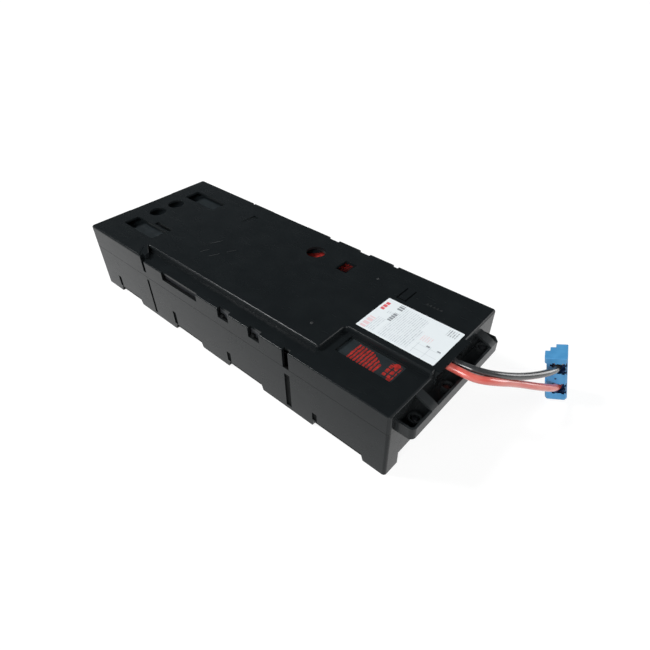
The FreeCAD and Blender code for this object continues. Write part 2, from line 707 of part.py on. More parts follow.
def deck_outline(sketch, plain, side, step):
    """The raised deck, set in from the plain end, the other sides and the step."""
    outline(
        sketch,
        [
            (plain, f"{NEAR} + {side}"),
            (f"ledge_start - {step}", f"{NEAR} + {side}"),
            (f"ledge_slant_end - {step}", f"{NEAR} + ledge_width + {step}"),
            (f"corner_start - {step}", f"{NEAR} + ledge_width + {step}"),
            (f"corner_start - {step}", f"{NEAR} + corner_width + {step}"),
            (f"body_length - {side}", f"{NEAR} + corner_width + {step}"),
            (f"body_length - {side}", f"{FAR} - {side}"),
            (plain, f"{FAR} - {side}"),
        ],
    )


def make_cover_shell(body):
    sketch = new_sketch(body, "SkirtSketch", "XY_Plane", "seam_height")
    rectangle(sketch, "0", NEAR, "body_length", "body_width")
    pad(body, "Skirt", sketch, "ledge_height - seam_height")
    sketch = new_sketch(body, "DeckSketch", "XY_Plane", "ledge_height")
    deck_outline(sketch, "0", "0", "0")
    pad(body, "Deck", sketch, "deck_height - ledge_height")
    round_edges(body, "Corners", "corner_radius", lambda edge: at_corner(edge, CASE_CORNERS))
    step_corners = [
        ("ledge_slant_end", f"{NEAR} + ledge_width"),
        ("corner_start", f"{NEAR} + ledge_width"),
        ("corner_start", f"{NEAR} + corner_width"),
    ]
    round_edges(body, "StepCorners", "corner_radius", lambda edge: at_corner(edge, step_corners))
    deck = number("deck_height")
    round_edges(body, "DeckEdge", "edge_radius", lambda edge: is_level(edge, deck))
    ledge = number("ledge_height")
    near = number(NEAR)
    cable_end = number("body_length")

    def on_case_side(edge):
        box = edge.BoundBox
        return is_level(edge, ledge) and (near_to(box.YMax, near) or near_to(box.XMin, cable_end))

    round_edges(body, "LedgeEdge", "ledge_edge_radius", on_case_side)
    end_recess(body, "seam_height", "deck_height")

    sketch = new_sketch(body, "CavitySketch", "XY_Plane", "seam_height")
    inner_outline(sketch)
    pocket(body, "Cavity", sketch, "ledge_height - roof - seam_height", upward=True)
    sketch = new_sketch(body, "DeckCavitySketch", "XY_Plane", "ledge_height - roof")
    deck_outline(sketch, "bed_start", "wall", "roof")
    pocket(body, "DeckCavity", sketch, "deck_height - ledge_height", upward=True)


def make_deck_openings(body):
    sketch = new_sketch(body, "OpeningSketch", "XY_Plane", "deck_height")
    for name in ("window_near", "window_small", "window_far", "window_mid"):
        y = from_near(f"{name}_y")
        rectangle(sketch, f"{name}_x", y, f"{name}_length", f"{name}_width")
    circle(sketch, "porthole_x", from_near("porthole_1_y"), "porthole_radius")
    circle(sketch, "porthole_x", from_near("porthole_2_y"), "porthole_radius")
    circle(sketch, "sight_x", from_near("sight_y"), "sight_radius")
    near = from_near("spring_y")
    far = f"({near} + spring_width)"
    right = "(spring_x + spring_length)"
    outline(
        sketch,
        [
            ("spring_x", near),
            (right, near),
            (right, far),
            (f"{right} - spring_slot", far),
            (f"{right} - spring_slot", f"{near} + spring_slot"),
            ("spring_x + spring_slot", f"{near} + spring_slot"),
            ("spring_x + spring_slot", far),
            ("spring_x", far),
        ],
    )
    pocket(body, "DeckOpenings", sketch, "roof + overcut")
    sketch = new_sketch(body, "LedgeWindowSketch", "XY_Plane", "ledge_height")
    rectangle(
        sketch,
        "ledge_window_x",
        from_near("ledge_window_y"),
        "ledge_window_length",
        "ledge_window_width",
    )
    pocket(body, "LedgeWindow", sketch, "roof + overcut")

    names = ("window_near", "window_small", "window_far", "window_mid", "ledge_window")
    corners = []
    for name in names:
        y = from_near(f"{name}_y")
        for x in (f"{name}_x", f"{name}_x + {name}_length"):
            corners.append((x, y))
            corners.append((x, f"{y} + {name}_width"))
    round_edges(
        body, "WindowCorners", "window_corner_radius", lambda edge: at_corner(edge, corners)
    )

    # The louvre is a ramp pressed down into the deck, open at its far end
    sketch = new_sketch(body, "LouvreSketch", "YZ_Plane", "louvre_x + louvre_length")
    near = from_near("louvre_y")
    far = f"({near} + louvre_width)"
    outline(
        sketch,
        [
            (near, "deck_height - louvre_lip / 4"),
            (far, "deck_height - roof + louvre_lip"),
            (far, "deck_height + overcut"),
            (near, "deck_height + overcut"),
        ],
    )
    pocket(body, "Louvre", sketch, "louvre_length")


def make_side_openings(body):
    sketch = new_sketch(body, "GateSketch", "XZ_Plane", FAR)
    top = "(deck_height + overcut)"
    rectangle(sketch, "ledge_start", "gate_1_foot", "gate_1_width", f"{top} - gate_1_foot")
    rectangle(sketch, "gate_2_start", "seam_height", "gate_2_width", f"{top} - seam_height")
    for name in ("latch_1", "latch_2"):
        rectangle(
            sketch, f"{name}_start", "latch_foot", f"{name}_length", f"{top} - latch_foot"
        )
    bar_foot = "(ledge_height - roof)"
    rectangle(
        sketch, "handle_start", "handle_foot", "handle_length", f"{bar_foot} - handle_foot"
    )
    gates = pocket(body, "SideGates", sketch, "skirt_cut_depth")
    mirrored(body, "FarSideGates", [gates])
    sketch = new_sketch(body, "BarSketch", "XZ_Plane", FAR)
    rectangle(sketch, "handle_start", bar_foot, "handle_length", f"{top} - {bar_foot}")
    bar = pocket(body, "HandleBar", sketch, "handle_set_back")
    mirrored(body, "FarHandleBar", [bar])


def make_grip(body):
    """The pull trough: a rim and floor with ring bosses, a hexagonal boss and snap straps."""
    near = from_near("grip_near")
    far = from_near("grip_far")
    front = "(body_length + grip_reach)"
    sketch = new_sketch(body, "GripSketch", "XY_Plane", "seam_height")
    outline(
        sketch,
        [
            ("body_length", near),
            (f"{front} - grip_corner", near, "grip_corner"),
            (front, f"{near} + grip_corner"),
            (front, f"{far} - grip_corner"),
            (f"{front} - grip_corner", far),
            ("body_length", far),
        ],
    )
    pad(body, "Grip", sketch, "grip_rim_height - seam_height")
    sketch = new_sketch(body, "GripHollowSketch", "XY_Plane", "grip_rim_height")
    inner = f"({front} - grip_wall)"
    inner_corner = "(grip_corner - grip_wall)"
    outline(
        sketch,
        [
            ("body_length", f"{near} + grip_wall"),
            (f"{inner} - {inner_corner}", f"{near} + grip_wall", inner_corner),
            (inner, f"{near} + grip_wall + {inner_corner}"),
            (inner, f"{far} - grip_corner"),
            (f"{inner} - {inner_corner}", f"{far} - grip_wall"),
            ("body_length", f"{far} - grip_wall"),
        ],
    )
    pocket(body, "GripHollow", sketch, "grip_rim_height - seam_height - grip_floor")

    floor = "seam_height + grip_floor"
    ring_x = "body_length + ring_x"
    rings = [(ring_x, from_near("ring_near_y")), (ring_x, from_near("ring_far_y"))]
    sketch = new_sketch(body, "RingSketch", "XY_Plane", floor)
    for x, y in rings:
        circle(sketch, x, y, "ring_radius")
        circle(sketch, x, y, "ring_bore")
    pad(body, "Rings", sketch, "ring_rise")
    hex_x = "body_length + hex_x"
    hex_y = from_near("hex_y")
    sketch = new_sketch(body, "HexSketch", "XY_Plane", floor)
    corners = []
    for turn in range(0, 360, 60):
        corners.append(
            (f"{hex_x} + hex_radius * cos({turn} deg)", f"{hex_y} + hex_radius * sin({turn} deg)")
        )
    outline(sketch, corners)
    circle(sketch, hex_x, hex_y, "ring_bore")
    pad(body, "HexBoss", sketch, "hex_rise")
    sketch = new_sketch(body, "ScrewHoleSketch", "XY_Plane", floor)
    for x, y in rings + [(hex_x, hex_y)]:
        circle(sketch, x, y, "screw_hole_radius")
    pocket(body, "ScrewHoles", sketch, "grip_floor + overcut")

    for name, y in (("Near", "strap_near_y"), ("Far", "strap_far_y")):
        sketch = new_sketch(body, f"{name}StrapSketch", "XZ_Plane", f"-{from_near(y)}")
        outline(
            sketch,
            [
                ("body_length", "strap_top - strap_thick"),
                ("body_length + strap_bend_x - strap_lip", "strap_bend_height - strap_thick"),
                (inner, "grip_rim_height"),
                (front, "grip_rim_height"),
                (front, "grip_rim_height + strap_lip"),
                ("body_length + strap_bend_x", "strap_bend_height"),
                ("body_length", "strap_top"),
            ],
        )
        strap = pad(body, f"{name}Strap", sketch, "strap_width")
        strap.Reversed = True
        doc.recompute()


def make_hood(body):
    """The small roof over the lead exit, with two curved cheeks."""
    near = from_near("hood_y")
    tip = "(body_length + hood_reach)"
    sketch = new_sketch(body, "HoodSketch", "XY_Plane", "deck_height - hood_lip")
    rectangle(sketch, "body_length - wall", near, "wall + hood_reach", "hood_width")
    pad(body, "Hood", sketch, "hood_lip")
    for name, y in (("Near", near), ("Far", f"({near} + hood_width - hood_side)")):
        sketch = new_sketch(body, f"{name}CheekSketch", "XZ_Plane", f"-{y}")
        outline(
            sketch,
            [
                ("body_length - wall / 2", "hood_foot"),
                ("body_length + hood_foot_reach", "hood_foot", "-hood_curve"),
                (tip, "deck_height - hood_lip / 2"),
                ("body_length - wall / 2", "deck_height - hood_lip / 2"),
            ],
        )
        cheek = pad(body, f"{name}Cheek", sketch, "hood_side")
        cheek.Reversed = True
        doc.recompute()
    sketch = new_sketch(body, "ExitSketch", "YZ_Plane", "body_length + hood_reach + overcut")
    rectangle(
        sketch,
        f"{near} + hood_side",
        "exit_foot",
        "hood_width - 2 * hood_side",
        "deck_height - roof - exit_foot",
    )
    pocket(body, "LeadExit", sketch, "hood_reach + overcut + wall")


def make_cover():
    body = new_body("cover")
    make_cover_shell(body)
    make_grip(body)
    make_hood(body)
    make_side_openings(body)
    make_deck_openings(body)
    return body


# Battery blocks


def tab_end(index):
    """True where the tabs of a block point to the cable end."""
    return index in (0, 2)


def tab_places(index):
    """Where the two tabs of a block begin, as X of the lid face and the two Y centres."""
    start = BLOCK_STARTS[index]
    face = f"({start} + block_depth)" if tab_end(index) else start
    return face, ["(-block_width / 2 + tab_side)", "(block_width / 2 - tab_side)"]


def make_block(index):
    start = BLOCK_STARTS[index]
    case_start = start if tab_end(index) else f"({start} + lid_depth)"
    lid_start = f"({start} + block_depth - lid_depth)" if tab_end(index) else start

    body = new_body(f"battery_case_{index + 1}")
    sketch = new_sketch(body, "CaseSketch", "XY_Plane", BLOCK_FOOT)
    rectangle(sketch, case_start, "-block_width / 2", "block_depth - lid_depth", "block_width")
    pad(body, "Case", sketch, "block_thick")
    round_edges(body, "CaseEdges", "block_radius", lambda edge: edge.BoundBox.XLength > 1)

    body = new_body(f"battery_lid_{index + 1}")
    sketch = new_sketch(body, "LidSketch", "XY_Plane", BLOCK_FOOT)
    rectangle(sketch, lid_start, "-block_width / 2", "lid_depth", "block_width")
    pad(body, "Lid", sketch, "block_thick")
    round_edges(body, "LidEdges", "block_radius", lambda edge: edge.BoundBox.XLength > 1)


def place(thing, x, y, z):
    """Puts a piece by X from the plain end, Y and Z."""
    bind(thing, "Placement.Base.x", f"{x} - {MIDDLE}")
    bind(thing, "Placement.Base.y", y)
    bind(thing, "Placement.Base.z", z)


def new_box(name, corner, size):
    """A block by its lower near left corner and its size."""
    block = doc.addObject("Part::Box", name)
    for field, text in zip(("Length", "Width", "Height"), size):
        bind(block, field, text)
    place(block, *corner)
    return block


def new_cylinder(name, foot, radius, height, axis=None):
    cylinder = doc.addObject("Part::Cylinder", name)
    bind(cylinder, "Radius", radius)
    bind(cylinder, "Height", height)
    if axis:
        turn = FreeCAD.Rotation(FreeCAD.Vector(0, 0, 1), axis)
        cylinder.Placement = FreeCAD.Placement(FreeCAD.Vector(), turn)
    place(cylinder, *foot)
    return cylinder


def combine(kind, label, first, *others):
    """Joins or cuts finished pieces into one node."""
    piece = doc.addObject(f"Part::{kind}", label)
    if kind == "Cut":
        piece.Base = first
        piece.Tool = others[0]
    elif kind == "Compound":
        piece.Links = [first, *others]
    else:
        piece.Shapes = [first, *others]
    return piece


def keep(piece, label):
    piece.Label = label
    nodes.append(piece)
    return piece


def make_tabs(index):
    """The two push-on tabs of a block."""
    face, places = tab_places(index)
    start = face if tab_end(index) else f"{face} - tab_reach"
    tabs = []
    for side, y in zip(("Near", "Far"), places):
        corner = (start, f"{y} - tab_width / 2", f"{TAB_HEIGHT} - tab_thick / 2")
        tabs.append(
            new_box(f"{side}Tab{index + 1}", corner, ("tab_reach", "tab_width", "tab_thick"))
        )
    label = f"battery_terminals_{index + 1}"
    keep(combine("Compound", label, *tabs), label)


def make_print(index):
    """The printed film on the upper face of a block."""
    start = BLOCK_STARTS[index]
    corner = (f"{start} + print_end", "-block_width / 2 + print_side", BLOCK_TOP)
    size = ("block_depth - 2 * print_end", "block_width - 2 * print_side", "print_thick")
    keep(new_box(f"Print{index + 1}", corner, size), f"battery_print_{index + 1}")


# Wiring inside the case


def socket(name, start, length, y):
    """A sheet sleeve around a tab, open at both ends."""
    outer_width = "tab_width + 2 * socket_play + 2 * socket_wall"
    outer_height = "tab_thick + 2 * socket_play + 2 * socket_wall"
    inner_width = "tab_width + 2 * socket_play"
    inner_height = "tab_thick + 2 * socket_play"
    corner = (start, f"{y} - ({outer_width}) / 2", f"{TAB_HEIGHT} - ({outer_height}) / 2")
    outer = new_box(f"{name}Outer", corner, (length, outer_width, outer_height))
    corner = (
        f"{start} - overcut",
        f"{y} - ({inner_width}) / 2",
        f"{TAB_HEIGHT} - ({inner_height}) / 2",
    )
    inner = new_box(f"{name}Inner", corner, (f"{length} + 2 * overcut", inner_width, inner_height))
    return combine("Cut", name, outer, inner)


def make_jumper(first):
    """A short link over two facing tabs on the near side."""
    face, places = tab_places(first)
    label = f"jumper_{first + 1}_{first + 2}"
    start = f"{face} + wire_lift"
    keep(socket(label, start, "tab_gap - 2 * wire_lift", places[0]), label)


def barrel_place(index):
    """The middle of the barrel on a block's far tab, X and Y."""
    face, places = tab_places(index)
    middle = f"({face} + tab_reach / 2)" if tab_end(index) else f"({face} - tab_reach / 2)"
    return middle, places[1]


def make_push_on(index):
    """A flag receptacle on the far tab, with its crimp barrel upright."""
    middle, y = barrel_place(index)
    label = f"push_on_{index + 1}"
    sleeve = socket(f"Sleeve{index + 1}", f"{middle} - socket_length / 2", "socket_length", y)
    foot = (middle, y, SOCKET_TOP)
    barrel = new_cylinder(f"Barrel{index + 1}", foot, "barrel_radius", "barrel_height")
    keep(combine("MultiFuse", label, sleeve, barrel), label)


def round_route(points):
    """Straight runs joined by the largest tangent arcs that the runs allow."""
    edges = []
    radii = []
    start = points[0]
    for before, corner, after in zip(points, points[1:], points[2:]):
        arriving = (corner - before).normalize()
        leaving = (after - corner).normalize()
        turn = arriving.getAngle(leaving)
        shorter = min((corner - before).Length, (after - corner).Length)
        cut = ARC_SHARE * shorter
        radii.append(cut / math.tan(turn / 2))
        enter = corner - arriving * cut
        leave = corner + leaving * cut
        inward = (leaving - arriving).normalize()
        middle = corner + inward * (radii[-1] * (1 / math.cos(turn / 2) - 1))
        edges.append(Part.LineSegment(start, enter).toShape())
        edges.append(Part.Arc(enter, middle, leave).toShape())
        start = leave
    edges.append(Part.LineSegment(start, points[-1]).toShape())
    return Part.Wire(edges), radii


def tube(label, points, radius, sides=0):
    """A cord along a route, in the frame of the whole object; inner wires have few flat sides."""
    path, radii = round_route(points)
    ring = Part.Circle(points[0], points[1] - points[0], radius).toShape()
    if sides:
        ring = Part.makePolygon(ring.discretize(sides + 1))
    section = Part.Face(Part.Wire(ring.Edges)).Area
    shape = path.makePipeShell([Part.Wire(ring.Edges)], True, False)
    excess = shape.Volume / (section * path.Length)
    print(f"{label}: length {path.Length:.1f}, tube over section {excess:.4f},")
    print("  radii", [round(value, 1) for value in radii])
    piece = doc.addObject("Part::Feature", label)
    piece.Shape = shape
    return keep(piece, label)


def rise(index, side, y, height):
    """The route of a wire out of a barrel and over the blocks, towards +X or -X."""
    middle, barrel_y = barrel_place(index)
    x = f"{middle} - {MIDDLE}"
    return [
        vector(x, barrel_y, f"{SOCKET_TOP} + barrel_height"),
        vector(x, barrel_y, height),
        vector(f"{x} + {side} * wire_lead_in", y, height),
    ]


def make_wiring():
    radius = number("inner_wire_radius")
    link = from_near("link_y")
    for name, index, side in (("fuse_lead_2", 1, "1"), ("fuse_lead_3", 2, "(-1)")):
        points = rise(index, side, link, WIRE_HEIGHT)
        end = f"fuse_x - {side} * fuse_length / 2 - {MIDDLE}"
        points.append(vector(end, link, WIRE_HEIGHT))
        tube(name, points, radius, WIRE_SIDES)
    foot = ("fuse_x - fuse_length / 2", link, WIRE_HEIGHT)
    axis = FreeCAD.Vector(1, 0, 0)
    holder = new_cylinder("FuseHolder", foot, "fuse_radius", "fuse_length", axis)
    keep(holder, "fuse_holder")

    points = rise(0, "1", from_near("tail_y"), WIRE_HEIGHT)
    points.append(vector(f"{BLOCK_END} - tail_turn - {MIDDLE}", from_near("tail_y"), WIRE_HEIGHT))
    make_tail("black", points)
    make_tail("red", rise(3, "1", f"({link} - link_spacing)", WIRE_HEIGHT))


def make_tail(colour, points):
    """An internal lead, over the last block and down to its outer lead in the clamp."""
    exit_y = from_near(f"exit_{colour}_y")
    clamp = f"{CLAMP_START} - {MIDDLE}"
    points.append(vector(f"{BLOCK_END} + wire_lift - {MIDDLE}", exit_y, WIRE_HEIGHT))
    end_height = f"(exit_{colour}_height + lead_{colour}_radius - inner_wire_radius - wire_lift)"
    points.append(vector(f"{clamp} - inner_wire_radius", exit_y, end_height))
    points.append(vector(clamp, exit_y, end_height))
    tube(f"lead_tail_{colour}", points, number("inner_wire_radius"), WIRE_SIDES)


def make_clamp():
    """The strain relief behind the hood, bored for the two leads."""
    near = f"({from_near('exit_red_y')} - lead_red_radius - clamp_margin)"
    width = "exit_black_y + lead_black_radius + lead_red_radius - exit_red_y + 2 * clamp_margin"
    height = "deck_height - roof - clamp_foot"
    block = new_box("ClampBlock", (CLAMP_START, near, "clamp_foot"), ("clamp_depth", width, height))
    bores = []
    for colour in ("red", "black"):
        foot = (f"{CLAMP_START} - overcut", from_near(f"exit_{colour}_y"), f"exit_{colour}_height")
        radius = f"lead_{colour}_radius + bore_play"
        axis = FreeCAD.Vector(1, 0, 0)
        bores.append(new_cylinder(f"Bore{colour}", foot, radius, "clamp_depth + 2 * overcut", axis))
    both = combine("MultiFuse", "ClampBores", *bores)
    keep(combine("Cut", "lead_clamp", block, both), "lead_clamp")


def make_foam():
    """Foam between the two pairs of blocks and over each block."""
    start = f"{BLOCK_STARTS[1]} + block_depth"
    corner = (start, "-foam_wide / 2", BLOCK_FOOT)
    size = ("foam_gap", "foam_wide", "block_thick")
    keep(new_box("FoamMiddle", corner, size), "foam_middle")
    middle = "(block_depth - foam_length) / 2"
    shifts = ("block_depth - foam_length - foam_inset", middle, middle, "foam_inset")
    thick = "deck_height - roof - print_thick - floor_top - block_rest - block_thick"
    step = "corner_width + roof + foam_step_gap"
    last_width = f"(exit_red_y + link_y - link_spacing) / 2 - foam_lead_gap - ({step})"
    sides = (
        ("-foam_width / 4", "foam_width / 2"),
        ("-foam_width / 2", "foam_width"),
        ("-foam_width / 2", "foam_width"),
        (from_near(step), last_width),
    )
    for i, (start, shift, side) in enumerate(zip(BLOCK_STARTS, shifts, sides), start=1):
        y, width = side
        corner = (f"{start} + {shift}", y, f"{BLOCK_TOP} + print_thick")
        keep(new_box(f"FoamTop{i}", corner, ("foam_length", width, thick)), f"foam_top_{i}")


# Screws, label and connector


def make_screw(index, x, y):
    """A pan-headed screw on the floor of the trough."""
    body = new_body(f"grip_screw_{index}", placed=False)
    place(body, x, y, "seam_height + grip_floor")
    sketch = new_sketch(body, "ScrewSketch", "XZ_Plane")
    outline(
        sketch,
        [
            ("0", "-grip_floor - screw_tip"),
            ("screw_shank_radius", "-grip_floor - screw_tip"),
            ("screw_shank_radius", "0"),
            ("screw_head_radius", "0"),
            ("screw_head_radius", "screw_head_height / 2"),
            ("screw_head_radius - screw_head_height / 2", "screw_head_height"),
            ("0", "screw_head_height"),
        ],
    )
    turned = body.newObject("PartDesign::Revolution", "Turned")
    turned.Profile = sketch
    turned.ReferenceAxis = (origin_part(body, "Z_Axis"), [""])
    turned.Angle = 360
    doc.recompute()


def make_screws():
    ring_x = "body_length + ring_x"
    make_screw(1, ring_x, from_near("ring_near_y"))
    make_screw(2, ring_x, from_near("ring_far_y"))
    make_screw(3, "body_length + hex_x", from_near("hex_y"))


def make_label():
    body = new_body("rating_label")
    sketch = new_sketch(body, "LabelSketch", "XY_Plane", "deck_height")
    rectangle(sketch, "label_x", from_near("label_y"), "label_length", "label_width")
    pad(body, "Label", sketch, "label_thick")
    round_edges(body, "LabelCorners", "label_radius", is_upright)


def set_on_connector(body):
    """Places a body by the connector's corner and its lean."""
    corner = "create(<<vector>>; connector_x; connector_y; 0)"
    lean = "create(<<rotation>>; connector_yaw; connector_pitch; connector_roll)"
    bind(body, "Placement", f"create(<<placement>>; {corner}; {lean})")


def make_connector():
    """The housing in its own axes: X across, Y from the lead face to the back, Z up the poles."""
    body = new_body("connector_housing", placed=False)
    set_on_connector(body)
    sketch = new_sketch(body, "HousingSketch", "XY_Plane")
    full = "connector_full"
    second = "connector_second"
    outline(
        sketch,
        [
            ("0", "0"),
            ("connector_width", "0"),
            ("connector_width", second),
            ("connector_width - step_1", "connector_depth"),
            ("step_2", "connector_depth"),
            ("step_2", second),
            ("step_1", second),
            ("step_1", full),
            ("0", full),
        ],
    )
    pad(body, "Housing", sketch, "connector_height")

    def on_lead_face(edge):
        box = edge.BoundBox
        return box.YMax < 0.01 or (box.ZMax < 0.01 and box.YMax < number(full) + 0.01)

    round_edges(body, "HousingEdges", "connector_radius", on_lead_face)
    poles = ("pole_red", "pole_black")
    sketch = new_sketch(body, "CavitySketch", "XZ_Plane")
    for pole in poles:
        circle(sketch, "pole_across", pole, "cavity_radius")
    pocket(body, "LeadCavities", sketch, "cavity_depth")
    reach = "(cavity_radius + key_reach)"
    keys = [f"{side} key_spacing / 2 - key_width / 2" for side in ("-", "")]
    sketch = new_sketch(body, "UprightKeySketch", "XZ_Plane")
    for pole in poles:
        for key in keys:
            rectangle(sketch, f"pole_across + {key}", f"{pole} - {reach}", "key_width", f"2 * {reach}")
    pocket(body, "UprightKeys", sketch, "key_depth")
    sketch = new_sketch(body, "LevelKeySketch", "XZ_Plane")
    for pole in poles:
        for key in keys:
            rectangle(sketch, f"pole_across - {reach}", f"{pole} + {key}", f"2 * {reach}", "key_width")
    pocket(body, "LevelKeys", sketch, "key_depth")
    sketch = new_sketch(body, "SideNotchSketch", "XZ_Plane")
    notch_height = "side_notch_top - side_notch_foot"
    rectangle(sketch, "-overcut", "side_notch_foot", "overcut + side_notch", notch_height)
    pocket(body, "SideNotch", sketch, full)
    sketch = new_sketch(body, "ContactSketch", "XZ_Plane")
    for pole in poles:
        circle(sketch, "pole_across", pole, "contact_radius + contact_play")
    pocket(body, "ContactHoles", sketch, "connector_depth - mating_depth")
    sketch = new_sketch(body, "MatingSketch", "XZ_Plane", "-connector_depth")
    for pole in poles:
        x = "pole_across - mating_width / 2"
        rectangle(sketch, x, f"{pole} - mating_height / 2", "mating_width", "mating_height")
    pocket(body, "MatingMouths", sketch, "mating_depth", upward=True)

    for colour in ("red", "black"):
        body = new_body(f"connector_contact_{colour}", placed=False)
        set_on_connector(body)
        sketch = new_sketch(body, "BarrelSketch", "XZ_Plane", "-cavity_depth")
        circle(sketch, "pole_across", f"pole_{colour}", "contact_radius")
        barrel = pad(body, "Barrel", sketch, "connector_depth - mating_depth - cavity_depth")
        barrel.Reversed = True
        sketch = new_sketch(body, "BladeSketch", "XZ_Plane", "-(connector_depth - mating_depth)")
        x = "pole_across - blade_thick / 2"
        z = f"pole_{colour} - blade_width / 2"
        rectangle(sketch, x, z, "blade_thick", "blade_width")
        blade = pad(body, "Blade", sketch, "blade_length")
        blade.Reversed = True
        doc.recompute()


# Free leads, by points chosen along their routes between the clamp and the connector:
# X and Y from the start of the lead, and the height as a share of the start's

RED_ROUTE = [
    (29.85, 4.5, 0.939),
    (42.05, 16.3, 0.843),
    (52.35, 40.8, 0.636),
    (65.25, 64.3, 0.4455),
]
BLACK_ROUTE = [
    (27.15, 4.0, 0.977),
    (41.15, 16.1, 0.899),
    (54.75, 37.4, 0.758),
    (65.95, 59.5, 0.669),
]


def make_lead(colour, route):
    """A free lead from the inner face of the clamp to its contact in the connector."""
    lean = FreeCAD.Rotation(
        number("connector_yaw"), number("connector_pitch"), number("connector_roll")
    )
    corner = vector("connector_x", "connector_y", "0")
    mouth = corner + lean.multVec(vector("pole_across", "mouth_depth", f"pole_{colour}"))
    contact = corner + lean.multVec(vector("pole_across", "cavity_depth", f"pole_{colour}"))
    start = vector(f"{CLAMP_START} - {MIDDLE}", from_near(f"exit_{colour}_y"), f"exit_{colour}_height")
    points = [start, start + vector(f"exit_{colour}_run", "0", "0")]
    for along, across, share in route:
        points.append(FreeCAD.Vector(start.x + along, start.y + across, start.z * share))
    points += [mouth, contact]
    tube(f"lead_{colour}", points, number(f"lead_{colour}_radius"))


make_tray()
make_cover()
for block in range(4):
    make_block(block)
    make_tabs(block)
    make_print(block)
    make_push_on(block)
make_jumper(0)
make_jumper(2)
make_wiring()
make_clamp()
make_foam()
make_screws()
make_label()
make_connector()
make_lead("red", RED_ROUTE)
make_lead("black", BLACK_ROUTE)

doc.recompute()
for thing in doc.Objects:
    if {"Invalid", "Error"} & set(thing.State):
        raise RuntimeError(f"{thing.Label} failed: {thing.State}")
os.makedirs("parts", exist_ok=True)
for node in nodes:
    if node.Shape.isNull() or not node.Shape.isValid():
        raise RuntimeError(f"{node.Label} has no valid shape")
    node.Shape.exportStep(f"parts/{node.Label}.step")
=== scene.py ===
"""Battery cartridge of a rack power supply: its looks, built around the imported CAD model."""

import json
import logging
import math
from dataclasses import dataclass
from enum import Enum
from typing import Any, Sequence

import bmesh
import bpy
from mathutils import Euler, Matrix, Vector


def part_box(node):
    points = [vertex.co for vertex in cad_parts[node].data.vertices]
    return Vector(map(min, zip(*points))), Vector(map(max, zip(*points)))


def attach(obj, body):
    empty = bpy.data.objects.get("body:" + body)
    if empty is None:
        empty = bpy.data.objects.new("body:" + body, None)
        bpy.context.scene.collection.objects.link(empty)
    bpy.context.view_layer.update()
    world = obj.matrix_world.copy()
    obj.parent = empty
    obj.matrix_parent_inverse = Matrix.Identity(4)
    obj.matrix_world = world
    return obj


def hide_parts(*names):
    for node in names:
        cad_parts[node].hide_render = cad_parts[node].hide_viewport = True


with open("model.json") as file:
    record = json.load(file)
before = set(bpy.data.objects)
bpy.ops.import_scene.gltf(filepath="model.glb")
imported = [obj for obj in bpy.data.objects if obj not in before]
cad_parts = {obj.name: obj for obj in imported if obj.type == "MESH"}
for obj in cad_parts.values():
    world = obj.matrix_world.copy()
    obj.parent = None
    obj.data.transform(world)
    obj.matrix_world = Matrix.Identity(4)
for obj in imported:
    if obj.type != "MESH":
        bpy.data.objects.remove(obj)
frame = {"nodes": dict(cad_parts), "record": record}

log = logging.getLogger("cartridge")

Point = tuple[float, float, float]
Colour = tuple[float, float, float]
Span = tuple[float, float]
Field = tuple[float, float, float, float]
Bars = tuple[Field, float, Span]

MM = 0.001
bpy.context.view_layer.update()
COVER_LOW, COVER_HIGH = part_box("cover")
DECK = COVER_HIGH.z / MM


def at(x: float, y: float, z: float) -> Vector:
    """A place on the case, in metres.

    Args:
        x: Millimetres from the plain end.
        y: Millimetres from the near side.
        z: Millimetres above the surface that the case lies on.

    Returns:
        The same place in the frame.
    """
    return Vector((COVER_LOW.x + x * MM, COVER_LOW.y + y * MM, z * MM))


class Value:
    """A number inside a material. An expression on it adds Math nodes."""

    def __init__(self, paint: "Paint", socket: bpy.types.NodeSocket) -> None:
        """Wraps a socket of the paint's tree."""
        self.paint = paint
        self.socket = socket

    def __add__(self, other: "Value | float") -> "Value":
        """self + other."""
        return self.paint.math("ADD", self, other)

    __radd__ = __add__

    def __sub__(self, other: "Value | float") -> "Value":
        """self - other."""
        return self.paint.math("SUBTRACT", self, other)

    def __rsub__(self, other: float) -> "Value":
        """other - self."""
        return self.paint.math("SUBTRACT", other, self)

    def __mul__(self, other: "Value | float") -> "Value":
        """self * other."""
        return self.paint.math("MULTIPLY", self, other)

    __rmul__ = __mul__

    def __truediv__(self, other: "Value | float") -> "Value":
        """self / other."""
        return self.paint.math("DIVIDE", self, other)

    def __gt__(self, other: "Value | float") -> "Value":
        """1 where self is above other, else 0."""
        return self.paint.math("GREATER_THAN", self, other)

    def __lt__(self, other: "Value | float") -> "Value":
        """1 where self is below other, else 0."""
        return self.paint.math("LESS_THAN", self, other)

    def __mod__(self, other: float) -> "Value":
        """What is left of self over whole steps of other."""
        return self.paint.math("FLOORED_MODULO", self, other)

    def __floordiv__(self, other: float) -> "Value":
        """The number of whole steps of other in self."""
        return self.paint.math("FLOOR", self / other)

    def inside(self, low: float, high: float) -> "Value":
        """1 between low and high, else 0."""
        return (self > low) * (self < high)

    def either(self, other: "Value") -> "Value":
        """The larger of two masks."""
        return self.paint.math("MAXIMUM", self, other)

    def ease(self, low: float, high: float) -> "Value":
        """0 at low, 1 at high and a smooth rise between them."""
        settings = {"interpolation_type": "SMOOTHSTEP"}
        inputs = {"Value": self, "From Min": low, "From Max": high}
        return Value(self.paint, self.paint.node("ShaderNodeMapRange", settings, inputs).outputs[0])


